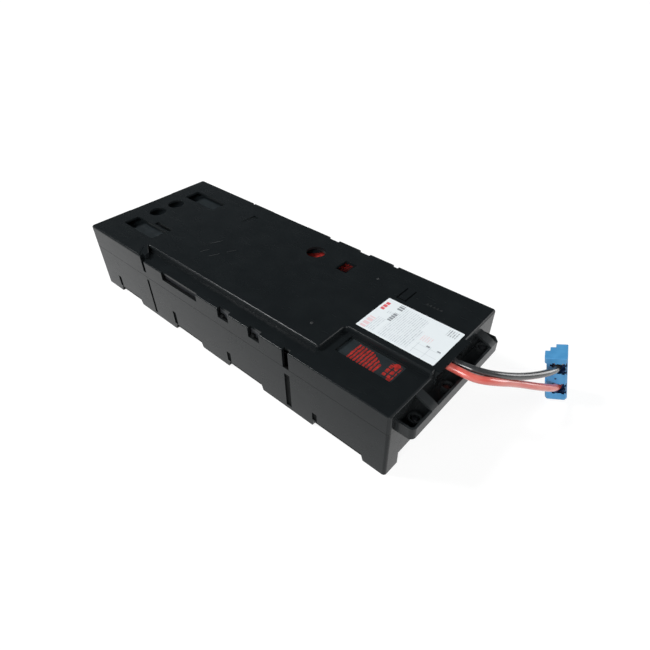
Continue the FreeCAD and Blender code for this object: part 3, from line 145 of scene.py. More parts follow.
class Paint:
    """A material in the making, with one method for every node that isn't plain maths."""

    def __init__(self, name: str) -> None:
        """Starts a node material that holds only its surface shader."""
        self.material = bpy.data.materials.new(name)
        self.material.use_nodes = True
        self.tree = self.material.node_tree
        self.surface = self.tree.nodes["Principled BSDF"]

    def fill(self, node: bpy.types.Node, inputs: dict[Any, Any]) -> None:
        """Gives a node's sockets their values or links.

        Args:
            node: The node to fill.
            inputs: A value, socket or Value for each socket name or number.
        """
        for key, given in inputs.items():
            source = given.socket if isinstance(given, Value) else given
            if isinstance(source, bpy.types.NodeSocket):
                self.tree.links.new(source, node.inputs[key])
            else:
                node.inputs[key].default_value = source

    def node(
        self, kind: str, settings: dict[str, Any] | None = None, inputs: dict[Any, Any] | None = None
    ) -> bpy.types.Node:
        """Adds a node.

        Args:
            kind: The node's type.
            settings: Its own settings, set before its sockets.
            inputs: What its sockets hold.

        Returns:
            The new node.
        """
        made = self.tree.nodes.new(kind)
        for name, value in (settings or {}).items():
            setattr(made, name, value)
        self.fill(made, inputs or {})
        return made

    def math(self, operation: str, *terms: "Value | float") -> Value:
        """One Math node on one to three terms."""
        made = self.node("ShaderNodeMath", {"operation": operation}, dict(enumerate(terms)))
        return Value(self, made.outputs[0])

    def places(self) -> tuple[Value, Value, Value]:
        """X from the plain end, Y from the near side and Z, all in millimetres."""
        place = self.node("ShaderNodeTexCoord").outputs["Object"]
        split = self.node("ShaderNodeSeparateXYZ", None, {0: place})
        x, y, z = (Value(self, socket) for socket in split.outputs)
        return (x - COVER_LOW.x) / MM, (y - COVER_LOW.y) / MM, z / MM

    def along(self, origin: Vector, axis: Vector) -> Value:
        """How far a place lies from an origin along an axis, in millimetres.

        Args:
            origin: Where the distance is nought, in metres.
            axis: The axis, of length one.

        Returns:
            The distance.
        """
        place = self.node("ShaderNodeTexCoord").outputs["Object"]
        away = self.node("ShaderNodeVectorMath", {"operation": "SUBTRACT"}, {0: place, 1: origin})
        inputs = {0: away.outputs[0], 1: axis}
        dot = self.node("ShaderNodeVectorMath", {"operation": "DOT_PRODUCT"}, inputs)
        return Value(self, dot.outputs["Value"]) / MM

    def noise(self, size: float, detail: float = 2.0, stretch: Point = (1.0, 1.0, 1.0)) -> Value:
        """Soft noise from 0 to 1.

        Args:
            size: Its grain in millimetres.
            detail: How many finer layers lie on it.
            stretch: How many times finer it is along each axis.

        Returns:
            The noise.
        """
        place = self.node("ShaderNodeTexCoord").outputs["Object"]
        turned = self.node("ShaderNodeMapping", None, {"Vector": place, "Scale": stretch}).outputs[0]
        inputs = {"Vector": turned, "Scale": 1.0 / (size * MM), "Detail": detail}
        return Value(self, self.node("ShaderNodeTexNoise", None, inputs).outputs[0])

    def chance(self, column: Value, row: Value) -> Value:
        """A fixed random number from 0 to 1 for each cell of a grid."""
        cell = self.node("ShaderNodeCombineXYZ", None, {0: column, 1: row}).outputs[0]
        return Value(self, self.node("ShaderNodeTexWhiteNoise", None, {"Vector": cell}).outputs[0])

    def mix(self, factor: Value, first: Any, second: Any) -> bpy.types.NodeSocket:
        """A colour between two others, each a colour with its cover or a socket."""
        inputs = {0: factor, 6: first, 7: second}
        return self.node("ShaderNodeMix", {"data_type": "RGBA"}, inputs).outputs[2]

    def bump(self, height: Value, depth: float) -> bpy.types.NodeSocket:
        """A normal from a height of 0 to 1 over a depth in millimetres."""
        inputs = {"Height": height, "Distance": depth * MM, "Strength": 1.0}
        return self.node("ShaderNodeBump", None, inputs).outputs[0]

    def coat(self, **inputs: Any) -> bpy.types.Material:
        """Fills the surface shader.

        Args:
            inputs: Its sockets by name, with underscores for spaces.

        Returns:
            The finished material.
        """
        self.fill(self.surface, {name.replace("_", " "): value for name, value in inputs.items()})
        return self.material


def rgba(colour: Colour) -> tuple[float, float, float, float]:
    """A colour with full cover."""
    return (*colour, 1.0)


@dataclass(frozen=True)
class Moulding:
    """A moulded plastic, with its grain and the slow waves of a large moulding.

    The case's own plastic also has painted shade behind its slots, painted light in its pull trough and the
    seam line.
    """

    name: str
    colour: Colour
    bright: Colour
    roughness: float
    specular: float = 0.5
    grain: float = 0.6
    grain_depth: float = 0.004
    wave: float = 34.0
    wave_depth: float = 0.05
    painted_light_and_seam: bool = False
    skin: float = 0.9
    slot_top: float = 68.0
    slot_end: float = 413.0
    trough_x: Span = (420.0, 437.2)
    trough_z: Span = (50.0, 75.5)
    trough_light: Colour = (0.021, 0.0235, 0.0245)
    seam: float = 51.5
    seam_half: float = 0.22
    shade: Colour = (0.001, 0.001, 0.001)

    def in_slots(self, x: Value, y: Value, z: Value) -> Value:
        """Where shade is painted: 1 behind the skin of the two long sides and of the plain end, else 0."""
        width = (COVER_HIGH.y - COVER_LOW.y) / MM
        behind = y.inside(self.skin, width - self.skin) * (x > self.skin)
        return behind * (z < self.slot_top) * (x < self.slot_end)

    def material(self) -> bpy.types.Material:
        """Makes the material."""
        paint = Paint(self.name)
        cloud = paint.noise(self.wave * 0.6, 4.0)
        smear = paint.noise(18.0, 3.0, (1.0, 3.0, 3.0))
        colour = paint.mix(cloud.ease(0.35, 0.75), rgba(self.colour), rgba(self.bright))
        rough = self.roughness + (smear - 0.5) * 0.16
        if self.painted_light_and_seam:
            x, y, z = paint.places()
            # Painted shade: the surfaces behind the skin, seen through the slots, are darkened nearly to
            # black and dulled.
            slots = self.in_slots(x, y, z)
            colour = paint.mix(slots * 0.7, colour, rgba(self.shade))
            rough = rough + slots * 0.6
            # Painted light: the pull trough is painted a lighter, mottled grey for the light that falls
            # into it.
            trough = x.inside(*self.trough_x) * z.inside(*self.trough_z)
            colour = paint.mix(trough * (0.6 + cloud * 0.4), colour, rgba(self.trough_light))
            seam = z.inside(self.seam - self.seam_half, self.seam + self.seam_half)
            colour = paint.mix(seam * 0.85, colour, rgba(self.shade))
            rough = rough + seam * 0.5
        height = paint.noise(self.grain, 1.0) * self.grain_depth
        height = height + paint.noise(self.wave, 1.0) * self.wave_depth
        total = self.grain_depth + self.wave_depth
        return paint.coat(
            Base_Color=colour,
            Roughness=rough,
            Specular_IOR_Level=self.specular,
            Normal=paint.bump(height / total, total),
        )


@dataclass(frozen=True)
class ConnectorPlace:
    """Where the connector stands: its corner, its lean and its two poles, as in the CAD model."""

    corner: Point = (266.5, 84.7, 0.0)
    lean: Point = (1.2, -14.5, 20.4)
    across: float = 11.1
    poles: Span = (14.8, 39.0)

    def turned(self) -> Euler:
        """Its lean as angles about X, Y and Z."""
        return Euler([math.radians(angle) for angle in self.lean], "XYZ")

    def place(self, x: float, y: float, z: float) -> Vector:
        """A place of the connector's own axes in the frame, in metres."""
        own = Vector((x, y, z))
        own.rotate(self.turned())
        return (Vector(self.corner) + own) * MM

    def axis(self, index: int) -> Vector:
        """One of its own axes as a direction in the frame."""
        own = Vector([1.0 if i == index else 0.0 for i in range(3)])
        own.rotate(self.turned())
        return own


@dataclass(frozen=True)
class ConnectorBlue:
    """Blue plastic, with painted shade inside the lead cavities and one small dark pin mark between them.
    """

    colour: Colour = (0.068, 0.295, 0.585)
    bright: Colour = (0.09, 0.345, 0.65)
    deep: Colour = (0.004, 0.02, 0.07)
    reach: float = 6.8
    hollow: Span = (0.45, 13.0)
    pin: Span = (8.9, 27.2)
    pin_depth: float = 0.3
    pin_square: float = 0.8

    def material(self) -> bpy.types.Material:
        """Makes the material."""
        paint = Paint("connector_blue")
        place = ConnectorPlace()
        x, y, z = (paint.along(place.place(0, 0, 0), place.axis(index)) for index in range(3))
        beside = x.inside(place.across - self.reach, place.across + self.reach)
        hollow = y.inside(*self.hollow) * beside
        poles = [z.inside(pole - self.reach, pole + self.reach) for pole in place.poles]
        pin_x, pin_z = x - self.pin[0], z - self.pin[1]
        pin = (y < self.pin_depth) * ((pin_x * pin_x + pin_z * pin_z) < self.pin_square)
        cloud = paint.noise(7.0, 3.0).ease(0.3, 0.75)
        colour = paint.mix(cloud, rgba(self.colour), rgba(self.bright))
        # Painted shade inside the lead cavities, and the small dark pin mark, in the dark blue.
        colour = paint.mix((hollow * poles[0].either(poles[1])).either(pin), colour, rgba(self.deep))
        return paint.coat(
            Base_Color=colour,
            Roughness=0.36 + (paint.noise(5.0, 3.0) - 0.5) * 0.12,
            Normal=paint.bump(paint.noise(0.8, 1.0), 0.006),
        )


@dataclass(frozen=True)
class Insulation:
    """The glossy skin of a lead."""

    name: str
    colour: Colour
    bright: Colour
    roughness: float
    coat: float

    def material(self) -> bpy.types.Material:
        """Makes the material."""
        paint = Paint(self.name)
        cloud = paint.noise(9.0, 3.0)
        colour = paint.mix(cloud.ease(0.3, 0.8), rgba(self.colour), rgba(self.bright))
        return paint.coat(
            Base_Color=colour,
            Roughness=self.roughness + (paint.noise(4.0, 3.0) - 0.5) * 0.12,
            Coat_Weight=self.coat,
            Coat_Roughness=0.12,
            Normal=paint.bump(paint.noise(5.0, 2.0), 0.05),
        )


@dataclass(frozen=True)
class Plating:
    """A plated metal."""

    name: str
    colour: Colour
    roughness: float

    def material(self) -> bpy.types.Material:
        """Makes the material."""
        paint = Paint(self.name)
        brushed = paint.noise(0.4, 2.0, (1.0, 6.0, 1.0))
        worn = tuple(part * 0.75 for part in self.colour)
        colour = paint.mix(paint.noise(3.0, 3.0).ease(0.4, 0.8), rgba(self.colour), rgba(worn))
        return paint.coat(
            Base_Color=colour,
            Metallic=1.0,
            Roughness=self.roughness + (brushed - 0.5) * 0.2,
            Normal=paint.bump(brushed, 0.01),
        )


@dataclass(frozen=True)
class LabelFilm:
    """White film with pale rows of dashes, coloured bars and a thin grid, as plain fields.

    A field is its start and end along the label and its start and end across it, in millimetres
    from the label's near corner. Bars are a field, their pitch across it and where each is filled.
    """

    near_corner: Span = (339.8, 61.2)
    paper: Colour = (0.85, 0.9, 0.92)
    dash: Colour = (0.36, 0.41, 0.45)
    dark: Colour = (0.05, 0.06, 0.08)
    red: Colour = (0.75, 0.12, 0.14)
    pale_red: Colour = (0.86, 0.5, 0.52)
    row_pitch: float = 2.1
    dash_length: float = 1.3
    pale_rows: Sequence[Field] = ((8.0, 17.0, 2.6, 22.0), (10.0, 20.0, 30.0, 34.0), (20.0, 36.0, 2.6, 46.0))
    grey_rows: Sequence[Field] = ((36.0, 51.0, 3.0, 30.0), (36.0, 47.0, 30.0, 44.0))
    red_rows: Field = (52.0, 62.0, 19.0, 27.0)
    dark_rows: Field = (66.0, 76.0, 38.0, 47.0)
    table: Field = (53.0, 76.0, 2.5, 17.0)
    table_pitch: Span = (11.0, 7.2)
    table_lines: Sequence[Span] = ((10.5, 10.9), (6.9, 7.3))
    pale_bars: Bars = ((2.6, 8.4, 1.6, 18.0), 5.3, (0.5, 4.6))
    red_bars: Bars = ((2.4, 6.2, 31.5, 44.5), 4.4, (0.5, 4.0))
    dark_bars: Sequence[Bars] = (
        ((16.6, 20.6, 22.5, 35.0), 3.1, (0.3, 2.7)),
        ((15.0, 20.4, 39.0, 47.4), 3.3, (0.4, 2.6)),
    )
    spots: Sequence[Field] = ((61.6, 64.8, 15.0, 17.0), (71.8, 75.0, 15.2, 16.9))

    def material(self) -> bpy.types.Material:
        """Makes the material."""
        paint = Paint("label_film")
        x, y, _ = paint.places()
        u = x - self.near_corner[0]
        v = y - self.near_corner[1]

        def field(ends: Field) -> Value:
            """1 inside a field, else 0."""
            return u.inside(*ends[:2]) * v.inside(*ends[2:])

        def bars(given: Bars) -> Value:
            """1 inside a field's bars, else 0."""
            ends, pitch, filled = given
            return field(ends) * (v % pitch).inside(*filled)

        def any_of(masks: Sequence[Value]) -> Value:
            """1 where one of the masks is 1, else 0."""
            total, *others = masks
            for mask in others:
                total = total.either(mask)
            return total

        in_row = (u % self.row_pitch).ease(0.3, 0.6) * (1.0 - (u % self.row_pitch).ease(1.2, 1.5))
        cell = paint.chance(v // self.dash_length, u // self.row_pitch)
        written = in_row * (cell * 0.75 + 0.25)
        lines = zip((u, v), self.table_pitch, self.table_lines)
        grid = any_of([(way % pitch).inside(*line) for way, pitch, line in lines]) * field(self.table)
        pale_rows = any_of([field(ends) for ends in self.pale_rows])
        grey_rows = any_of([field(ends) for ends in self.grey_rows])
        dark = [bars(given) for given in self.dark_bars] + [field(ends) for ends in self.spots]
        dark = any_of([*dark, field(self.dark_rows) * written])
        colour = rgba(self.paper)
        for mask, ink in (
            (written * pale_rows * 0.5, self.dash),
            (written * grey_rows * 0.62, self.dash),
            (written * field(self.red_rows) * 0.7, self.pale_red),
            (grid * 0.5, self.dash),
            (bars(self.pale_bars) * 0.6, self.pale_red),
            (bars(self.red_bars), self.red),
            (dark * 0.72, self.dark),
        ):
            colour = paint.mix(mask, colour, rgba(ink))
        return paint.coat(
            Base_Color=colour,
            Roughness=0.38 + (paint.noise(6.0, 3.0) - 0.5) * 0.1,
            Normal=paint.bump(paint.noise(14.0, 2.0), 0.05),
        )


class Print(Enum):
    """What a block's printed film shows."""

    PLAIN = "plain"
    WIDE = "wide"
    SMALL = "small"


@dataclass(frozen=True)
class BlockFilm:
    """Dark film on a battery block, with red fields of short dashes where the cover shows them.

    Spans are millimetres from the plain end for X and from the near side for Y. A disc is its
    middle's X and Y and its radius.
    """

    show: Print
    film: Colour = (0.018, 0.024, 0.027)
    red: Colour = (0.52, 0.03, 0.022)
    deep_red: Colour = (0.26, 0.02, 0.016)
    stripe_x: Span = (353.0, 383.0)
    stripe_y: Span = (30.0, 50.6)
    stripe_pitch: float = 3.3
    fade_start: Span = (364.0, 54.0)
    fade_slope: float = 0.66
    head_x: Span = (387.0, 398.0)
    head_y: Span = (34.0, 50.0)
    head_pitch: Span = (4.4, 5.4)
    head_filled: Sequence[Span] = ((0.9, 3.9), (0.7, 4.9))
    wide_discs: Sequence[Point] = ((393.0, 49.4, 2.9), (396.0, 33.0, 2.2))
    small_disc: Point = (228.0, 133.0, 15.0)
    disc_cut: float = 93.4
    row_x: Span = (261.0, 274.0)
    row_y: Span = (125.0, 141.0)
    row_pitch: float = 3.1
    row_filled: Span = (0.5, 2.6)

    def disc(self, x: Value, y: Value, place: Point) -> Value:
        """1 inside a disc of the print, else 0."""
        across = x - place[0]
        along = y - place[1]
        return (across * across + along * along) < place[2] * place[2]

    def wide_print(self, x: Value, y: Value, wobble: Value) -> Value:
        """The wide window's stripes, heads and discs.

        Args:
            x: Millimetres from the plain end.
            y: Millimetres from the near side.
            wobble: How far the edges waver, in millimetres.

        Returns:
            1 where the film is red, else 0.
        """
        fading = (y + wobble * 2.0) < (self.fade_start[1] - (x - self.fade_start[0]) * self.fade_slope)
        rows = x.inside(*self.stripe_x) * y.inside(*self.stripe_y) * fading
        step = (x + wobble) % self.stripe_pitch
        stripes = step.ease(0.5, 1.0) * (1.0 - step.ease(2.5, 3.0))
        heads = x.inside(*self.head_x) * y.inside(*self.head_y)
        for way, pitch, filled in zip((x, y), self.head_pitch, self.head_filled):
            heads = heads * ((way + wobble) % pitch).inside(*filled)
        first, second = (self.disc(x, y, place) for place in self.wide_discs)
        return (rows * stripes).either(heads).either(first.either(second))

    def small_print(self, x: Value, y: Value, wobble: Value) -> Value:
        """The small window's rows and the disc under the sight hole.

        Args:
            x: Millimetres from the plain end.
            y: Millimetres from the near side.
            wobble: How far the edges waver, in millimetres.

        Returns:
            1 where the film is red, else 0.
        """
        disc = self.disc(x, y, self.small_disc) * (y < (x - self.disc_cut))
        rows = x.inside(*self.row_x) * ((x + wobble * 0.5) % self.row_pitch).inside(*self.row_filled)
        return disc.either(rows * y.inside(*self.row_y))

    def material(self) -> bpy.types.Material:
        """Makes the material."""
        paint = Paint(f"print_film_{self.show.value}")
        x, y, _ = paint.places()
        cloud = paint.noise(12.0, 3.0)
        film = tuple(part * 1.35 for part in self.film)
        colour = paint.mix(cloud.ease(0.3, 0.8), rgba(self.film), rgba(film))
        if self.show is not Print.PLAIN:
            wobble = (paint.noise(2.6, 2.0) - 0.5) * 1.6
            printed = self.wide_print if self.show is Print.WIDE else self.small_print
            patches = paint.noise(3.0, 2.0).ease(0.3, 0.7)
            tone = paint.mix(patches, rgba(self.deep_red), rgba(self.red))
            colour = paint.mix(printed(x, y, wobble) * 0.95, colour, tone)
        return paint.coat(
            Base_Color=colour,
            Roughness=0.42 + (paint.noise(5.0, 3.0) - 0.5) * 0.15,
            Normal=paint.bump(paint.noise(1.0, 2.0), 0.01),
        )


class Finishes:
    """Every finish of the object, made once and given to nodes and pieces by slot."""

    def __init__(self) -> None:
        """Makes the materials."""
        black, sheen = (0.0082, 0.0102, 0.0112), (0.0102, 0.0125, 0.0135)
        case = Moulding("case_plastic", black, sheen, 0.25, specular=0.15, painted_light_and_seam=True)
        block = Moulding("block_plastic", (0.02, 0.022, 0.025), (0.026, 0.028, 0.031), 0.45)
        # Painted light: the raised deck marks are painted lighter than the deck, for the light their
        # sloping sides catch.
        marks = Moulding("marks_painted_light", (0.022, 0.024, 0.025), (0.045, 0.047, 0.048), 0.45)
        foam = Moulding(
            "foam", (0.05, 0.05, 0.055), (0.08, 0.08, 0.085), 0.9, specular=0.1, grain=1.2, grain_depth=0.3
        )
        finishes = {
            "case_plastic": case,
            "block_plastic": block,
            "foam": foam,
            "marks_painted_light": marks,
            "connector_blue": ConnectorBlue(),
            "tinned_brass": Plating("tinned_brass", (0.78, 0.76, 0.7), 0.3),
            "screw_steel": Plating("screw_steel", (0.12, 0.12, 0.125), 0.3),
            "contact_metal": Plating("contact_metal", (0.75, 0.73, 0.68), 0.3),
            "wire_black": Insulation("wire_black", (0.012, 0.012, 0.013), (0.02, 0.02, 0.022), 0.3, 0.2),
            "wire_red": Insulation("wire_red", (0.6, 0.05, 0.04), (0.7, 0.08, 0.06), 0.3, 0.2),
            "fuse_shell": Insulation("fuse_shell", (0.25, 0.02, 0.02), (0.3, 0.03, 0.03), 0.3, 0.3),
            "lead_red": Insulation("lead_red", (0.72, 0.12, 0.095), (0.77, 0.19, 0.15), 0.3, 1.0),
            "lead_black": Insulation("lead_black", (0.03, 0.031, 0.032), (0.05, 0.052, 0.054), 0.26, 0.9),
            "label_film": LabelFilm(),
        }
        self.made = {slot: finish.material() for slot, finish in finishes.items()}
        self.prints = {show: BlockFilm(show).material() for show in Print}

    def dress(self, piece: bpy.types.Object, material: bpy.types.Material) -> None:
        """Gives a piece or node one material in place of what it has."""
        if piece.material_slots:
            for slot in piece.material_slots:
                slot.material = material
        else:
            piece.data.materials.append(material)

    def dress_nodes(self) -> None:
        """Gives every CAD node the finish of its slot in the record."""
        shown = {3: Print.SMALL, 4: Print.WIDE}
        for part in frame["record"]["subparts"]:
            node = frame["nodes"][part["node"]]
            slot = part["material_slot"]
            material = self.made.get(slot)
            if slot == "print_film":
                index = int(part["node"].rsplit("_", 1)[1])
                material = self.prints[shown.get(index, Print.PLAIN)]
            self.dress(node, material)
            log.info("dressed %s in %s", part["node"], slot)


def linked(name: str, data: bpy.types.ID) -> bpy.types.Object:
    """A new object in the scene that holds the given data."""
    made = bpy.data.objects.new(name, data)
    bpy.context.scene.collection.objects.link(made)
    return made


def from_mesh(name: str, mesh: bmesh.types.BMesh) -> bpy.types.Object:
    """A new object from a closed bmesh, which is freed."""
    bmesh.ops.recalc_face_normals(mesh, faces=mesh.faces)
    data = bpy.data.meshes.new(name)
    mesh.to_mesh(data)
    mesh.free()
    return linked(name, data)


def solid_piece(
    name: str, slot: str, finishes: Finishes, mesh: bmesh.types.BMesh, finish: str = ""
) -> bpy.types.Object:
    """Turns a finished bmesh into a piece that rides on the case.

    Args:
        name: The piece's name.
        slot: The record's slot that it takes its finish from.
        finishes: The finishes.
        mesh: The bmesh in the frame, which is freed.
        finish: Its finish, where that isn't the slot's own.

    Returns:
        The new object.
    """
    piece = from_mesh(name, mesh)
    finishes.dress(piece, finishes.made[finish or slot])
    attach(piece, "root")
    log.info("built %s with %d faces", name, len(piece.data.polygons))
    return piece


@dataclass
class CaseShells:
    """The tray and the cover: the CAD shells with the small rounding of their moulded edges."""

    edge_width: float = 0.6
    edge_steps: int = 3
    sharp_angle: float = 35.0
    weld: float = 0.002
    face_weight: int = 80

    def shading(self) -> bpy.types.NodeTree:
        """Makes the modifier nodes that shade a mesh smooth, except across sharp edges.

        Returns:
            Their node group.
        """
        group = bpy.data.node_groups.new("smooth_but_sharp", "GeometryNodeTree")
        group.interface.new_socket("Geometry", in_out="INPUT", socket_type="NodeSocketGeometry")
        group.interface.new_socket("Geometry", in_out="OUTPUT", socket_type="NodeSocketGeometry")
        start, end = group.nodes.new("NodeGroupInput"), group.nodes.new("NodeGroupOutput")
        faces, edges = (group.nodes.new("GeometryNodeSetShadeSmooth") for _ in range(2))
        edges.domain = "EDGE"
        edges.inputs["Shade Smooth"].default_value = False
        angle = group.nodes.new("GeometryNodeInputMeshEdgeAngle")
        sharp = group.nodes.new("ShaderNodeMath")
        sharp.operation = "GREATER_THAN"
        sharp.inputs[1].default_value = math.radians(self.sharp_angle)
        group.links.new(angle.outputs["Unsigned Angle"], sharp.inputs[0])
        group.links.new(sharp.outputs[0], edges.inputs["Selection"])
        group.links.new(start.outputs[0], faces.inputs["Geometry"])
        group.links.new(faces.outputs[0], edges.inputs["Geometry"])
        group.links.new(edges.outputs[0], end.inputs[0])
        return group

    def soften(self, node: str, shading: bpy.types.NodeTree) -> None:
        """Rounds a shell's sharp edges and evens its shading with modifiers.

        Args:
            node: The shell's CAD node.
            shading: The modifier nodes for its shading.
        """
        shell = frame["nodes"][node]
        weld = shell.modifiers.new("Weld", "WELD")
        weld.merge_threshold = self.weld * MM
        bevel = shell.modifiers.new("Edges", "BEVEL")
        bevel.width = self.edge_width * MM
        bevel.segments = self.edge_steps
        bevel.limit_method = "ANGLE"
        bevel.angle_limit = math.radians(self.sharp_angle)
        bevel.use_clamp_overlap = True
        shell.modifiers.new("Shading", "NODES").node_group = shading
        normals = shell.modifiers.new("Normals", "WEIGHTED_NORMAL")
        normals.keep_sharp = True
        normals.weight = self.face_weight
        log.info("softened the edges of %s", node)

    def build(self) -> None:
        """Softens both shells."""
        shading = self.shading()
        for node in ("cover", "tray"):
            self.soften(node, shading)


@dataclass
class MouldMarks:
    """Raised dashes, pin dimples and a short row of marks moulded into the deck."""

    dash_width: float = 0.5
    dash_rise: float = 0.25
    sunk: float = 0.1
    dimple_radius: float = 1.5
    dimple_rise: float = 0.35
    dimple_steps: int = 24
    dashes: Sequence[tuple[Span, Span]] = (
        ((136.7, 64.6), (142.7, 76.0)),
        ((142.0, 46.7), (145.4, 55.4)),
        ((155.8, 47.1), (160.6, 56.9)),
        ((163.8, 63.9), (168.1, 72.5)),
    )
    dimples: Sequence[Span] = ((310.0, 37.3), (313.3, 128.2))
    row_start: float = 370.5
    row_pitch: float = 3.6
    row_count: int = 5

    def bar(self, mesh: bmesh.types.BMesh, start: Span, end: Span) -> None:
        """Adds a raised bar with sloping sides on the deck.

        Args:
            mesh: The bmesh to add to.
            start: Where it starts, in millimetres on the case.
            end: Where it ends.
        """
        first = Vector(start)
        last = Vector(end)
        along = (last - first).normalized()
        across = Vector((-along.y, along.x))
        rings = []
        foot, top = (self.dash_width / 2, DECK - self.sunk), (self.dash_width / 3, DECK + self.dash_rise)
        for half, z in (foot, top):
            corners = [
                first - along * half - across * half,
                last + along * half - across * half,
                last + along * half + across * half,
                first - along * half + across * half,
            ]
            rings.append([mesh.verts.new(at(corner.x, corner.y, z)) for corner in corners])
        mesh.faces.new(rings[0][::-1])
        mesh.faces.new(rings[1])
        for i in range(4):
            j = (i + 1) % 4
            mesh.faces.new((rings[0][i], rings[0][j], rings[1][j], rings[1][i]))

    def dimple(self, mesh: bmesh.types.BMesh, x: float, y: float) -> None:
        """Adds a low ring around a pin mark.

        Args:
            mesh: The bmesh to add to.
            x: Its middle, in millimetres from the plain end.
            y: Its middle, in millimetres from the near side.
        """
        profile = [
            (self.dimple_radius, -self.sunk),
            (self.dimple_radius * 0.85, self.dimple_rise),
            (self.dimple_radius * 0.6, self.dimple_rise),
            (self.dimple_radius * 0.4, 0.02),
        ]
        steps = self.dimple_steps
        rings = []
        for radius, z in profile:
            ring = []
            for i in range(steps):
                turn = math.tau * i / steps
                side_x, side_y = radius * math.cos(turn), radius * math.sin(turn)
                ring.append(mesh.verts.new(at(x + side_x, y + side_y, DECK + z)))
            rings.append(ring)
        for inner, outer in zip(rings[1:], rings[:-1]):
            for i in range(steps):
                j = (i + 1) % steps
                mesh.faces.new((outer[i], outer[j], inner[j], inner[i]))
        mesh.faces.new(rings[-1])
        mesh.faces.new(rings[0][::-1])

    def build(self, finishes: Finishes) -> None:
        """Builds the marks as one piece on the deck."""
        mesh = bmesh.new()
        for start, end in self.dashes:
            self.bar(mesh, start, end)
        for x, y in self.dimples:
            self.dimple(mesh, x, y)
        for step in range(self.row_count):
            x = self.row_start + step * self.row_pitch
            self.bar(mesh, (x, 124.6), (x + 1.4, 126.4))
            self.bar(mesh, (x + 1.2, 124.2), (x + 2.2, 124.9))
        # The marks take the lighter finish, which is painted light.
        solid_piece("mould_marks", "case_plastic", finishes, mesh, "marks_painted_light")


def plate(mesh: bmesh.types.BMesh, outline: Sequence[Span], low: float, high: float, ease: float) -> None:
    """Adds a flat plate with a slightly eased upper edge.

    Args:
        mesh: The bmesh to add to.
        outline: Its corners, anticlockwise from above, in millimetres on the case.
        low: The height of its underside.
        high: The height of its top.
        ease: How far its upper edge is set in and down.
    """
    count = len(outline)
    corners = [Vector(corner) for corner in outline]
    inner = []
    for i in range(count):
        before = (corners[i] - corners[i - 1]).normalized()
        after = (corners[(i + 1) % count] - corners[i]).normalized()
        inward = Vector((-before.y, before.x)) + Vector((-after.y, after.x))
        inner.append(corners[i] + inward * (ease / (1.0 + before.dot(after))))
    rings = []
    for ring, z in ((corners, low), (corners, high - ease), (inner, high)):
        rings.append([mesh.verts.new(at(corner.x, corner.y, z)) for corner in ring])
    mesh.faces.new(rings[0][::-1])
    mesh.faces.new(rings[-1])
    for lower, upper in zip(rings[:-1], rings[1:]):
        for i in range(count):
            j = (i + 1) % count
            mesh.faces.new((lower[i], lower[j], upper[j], upper[i]))


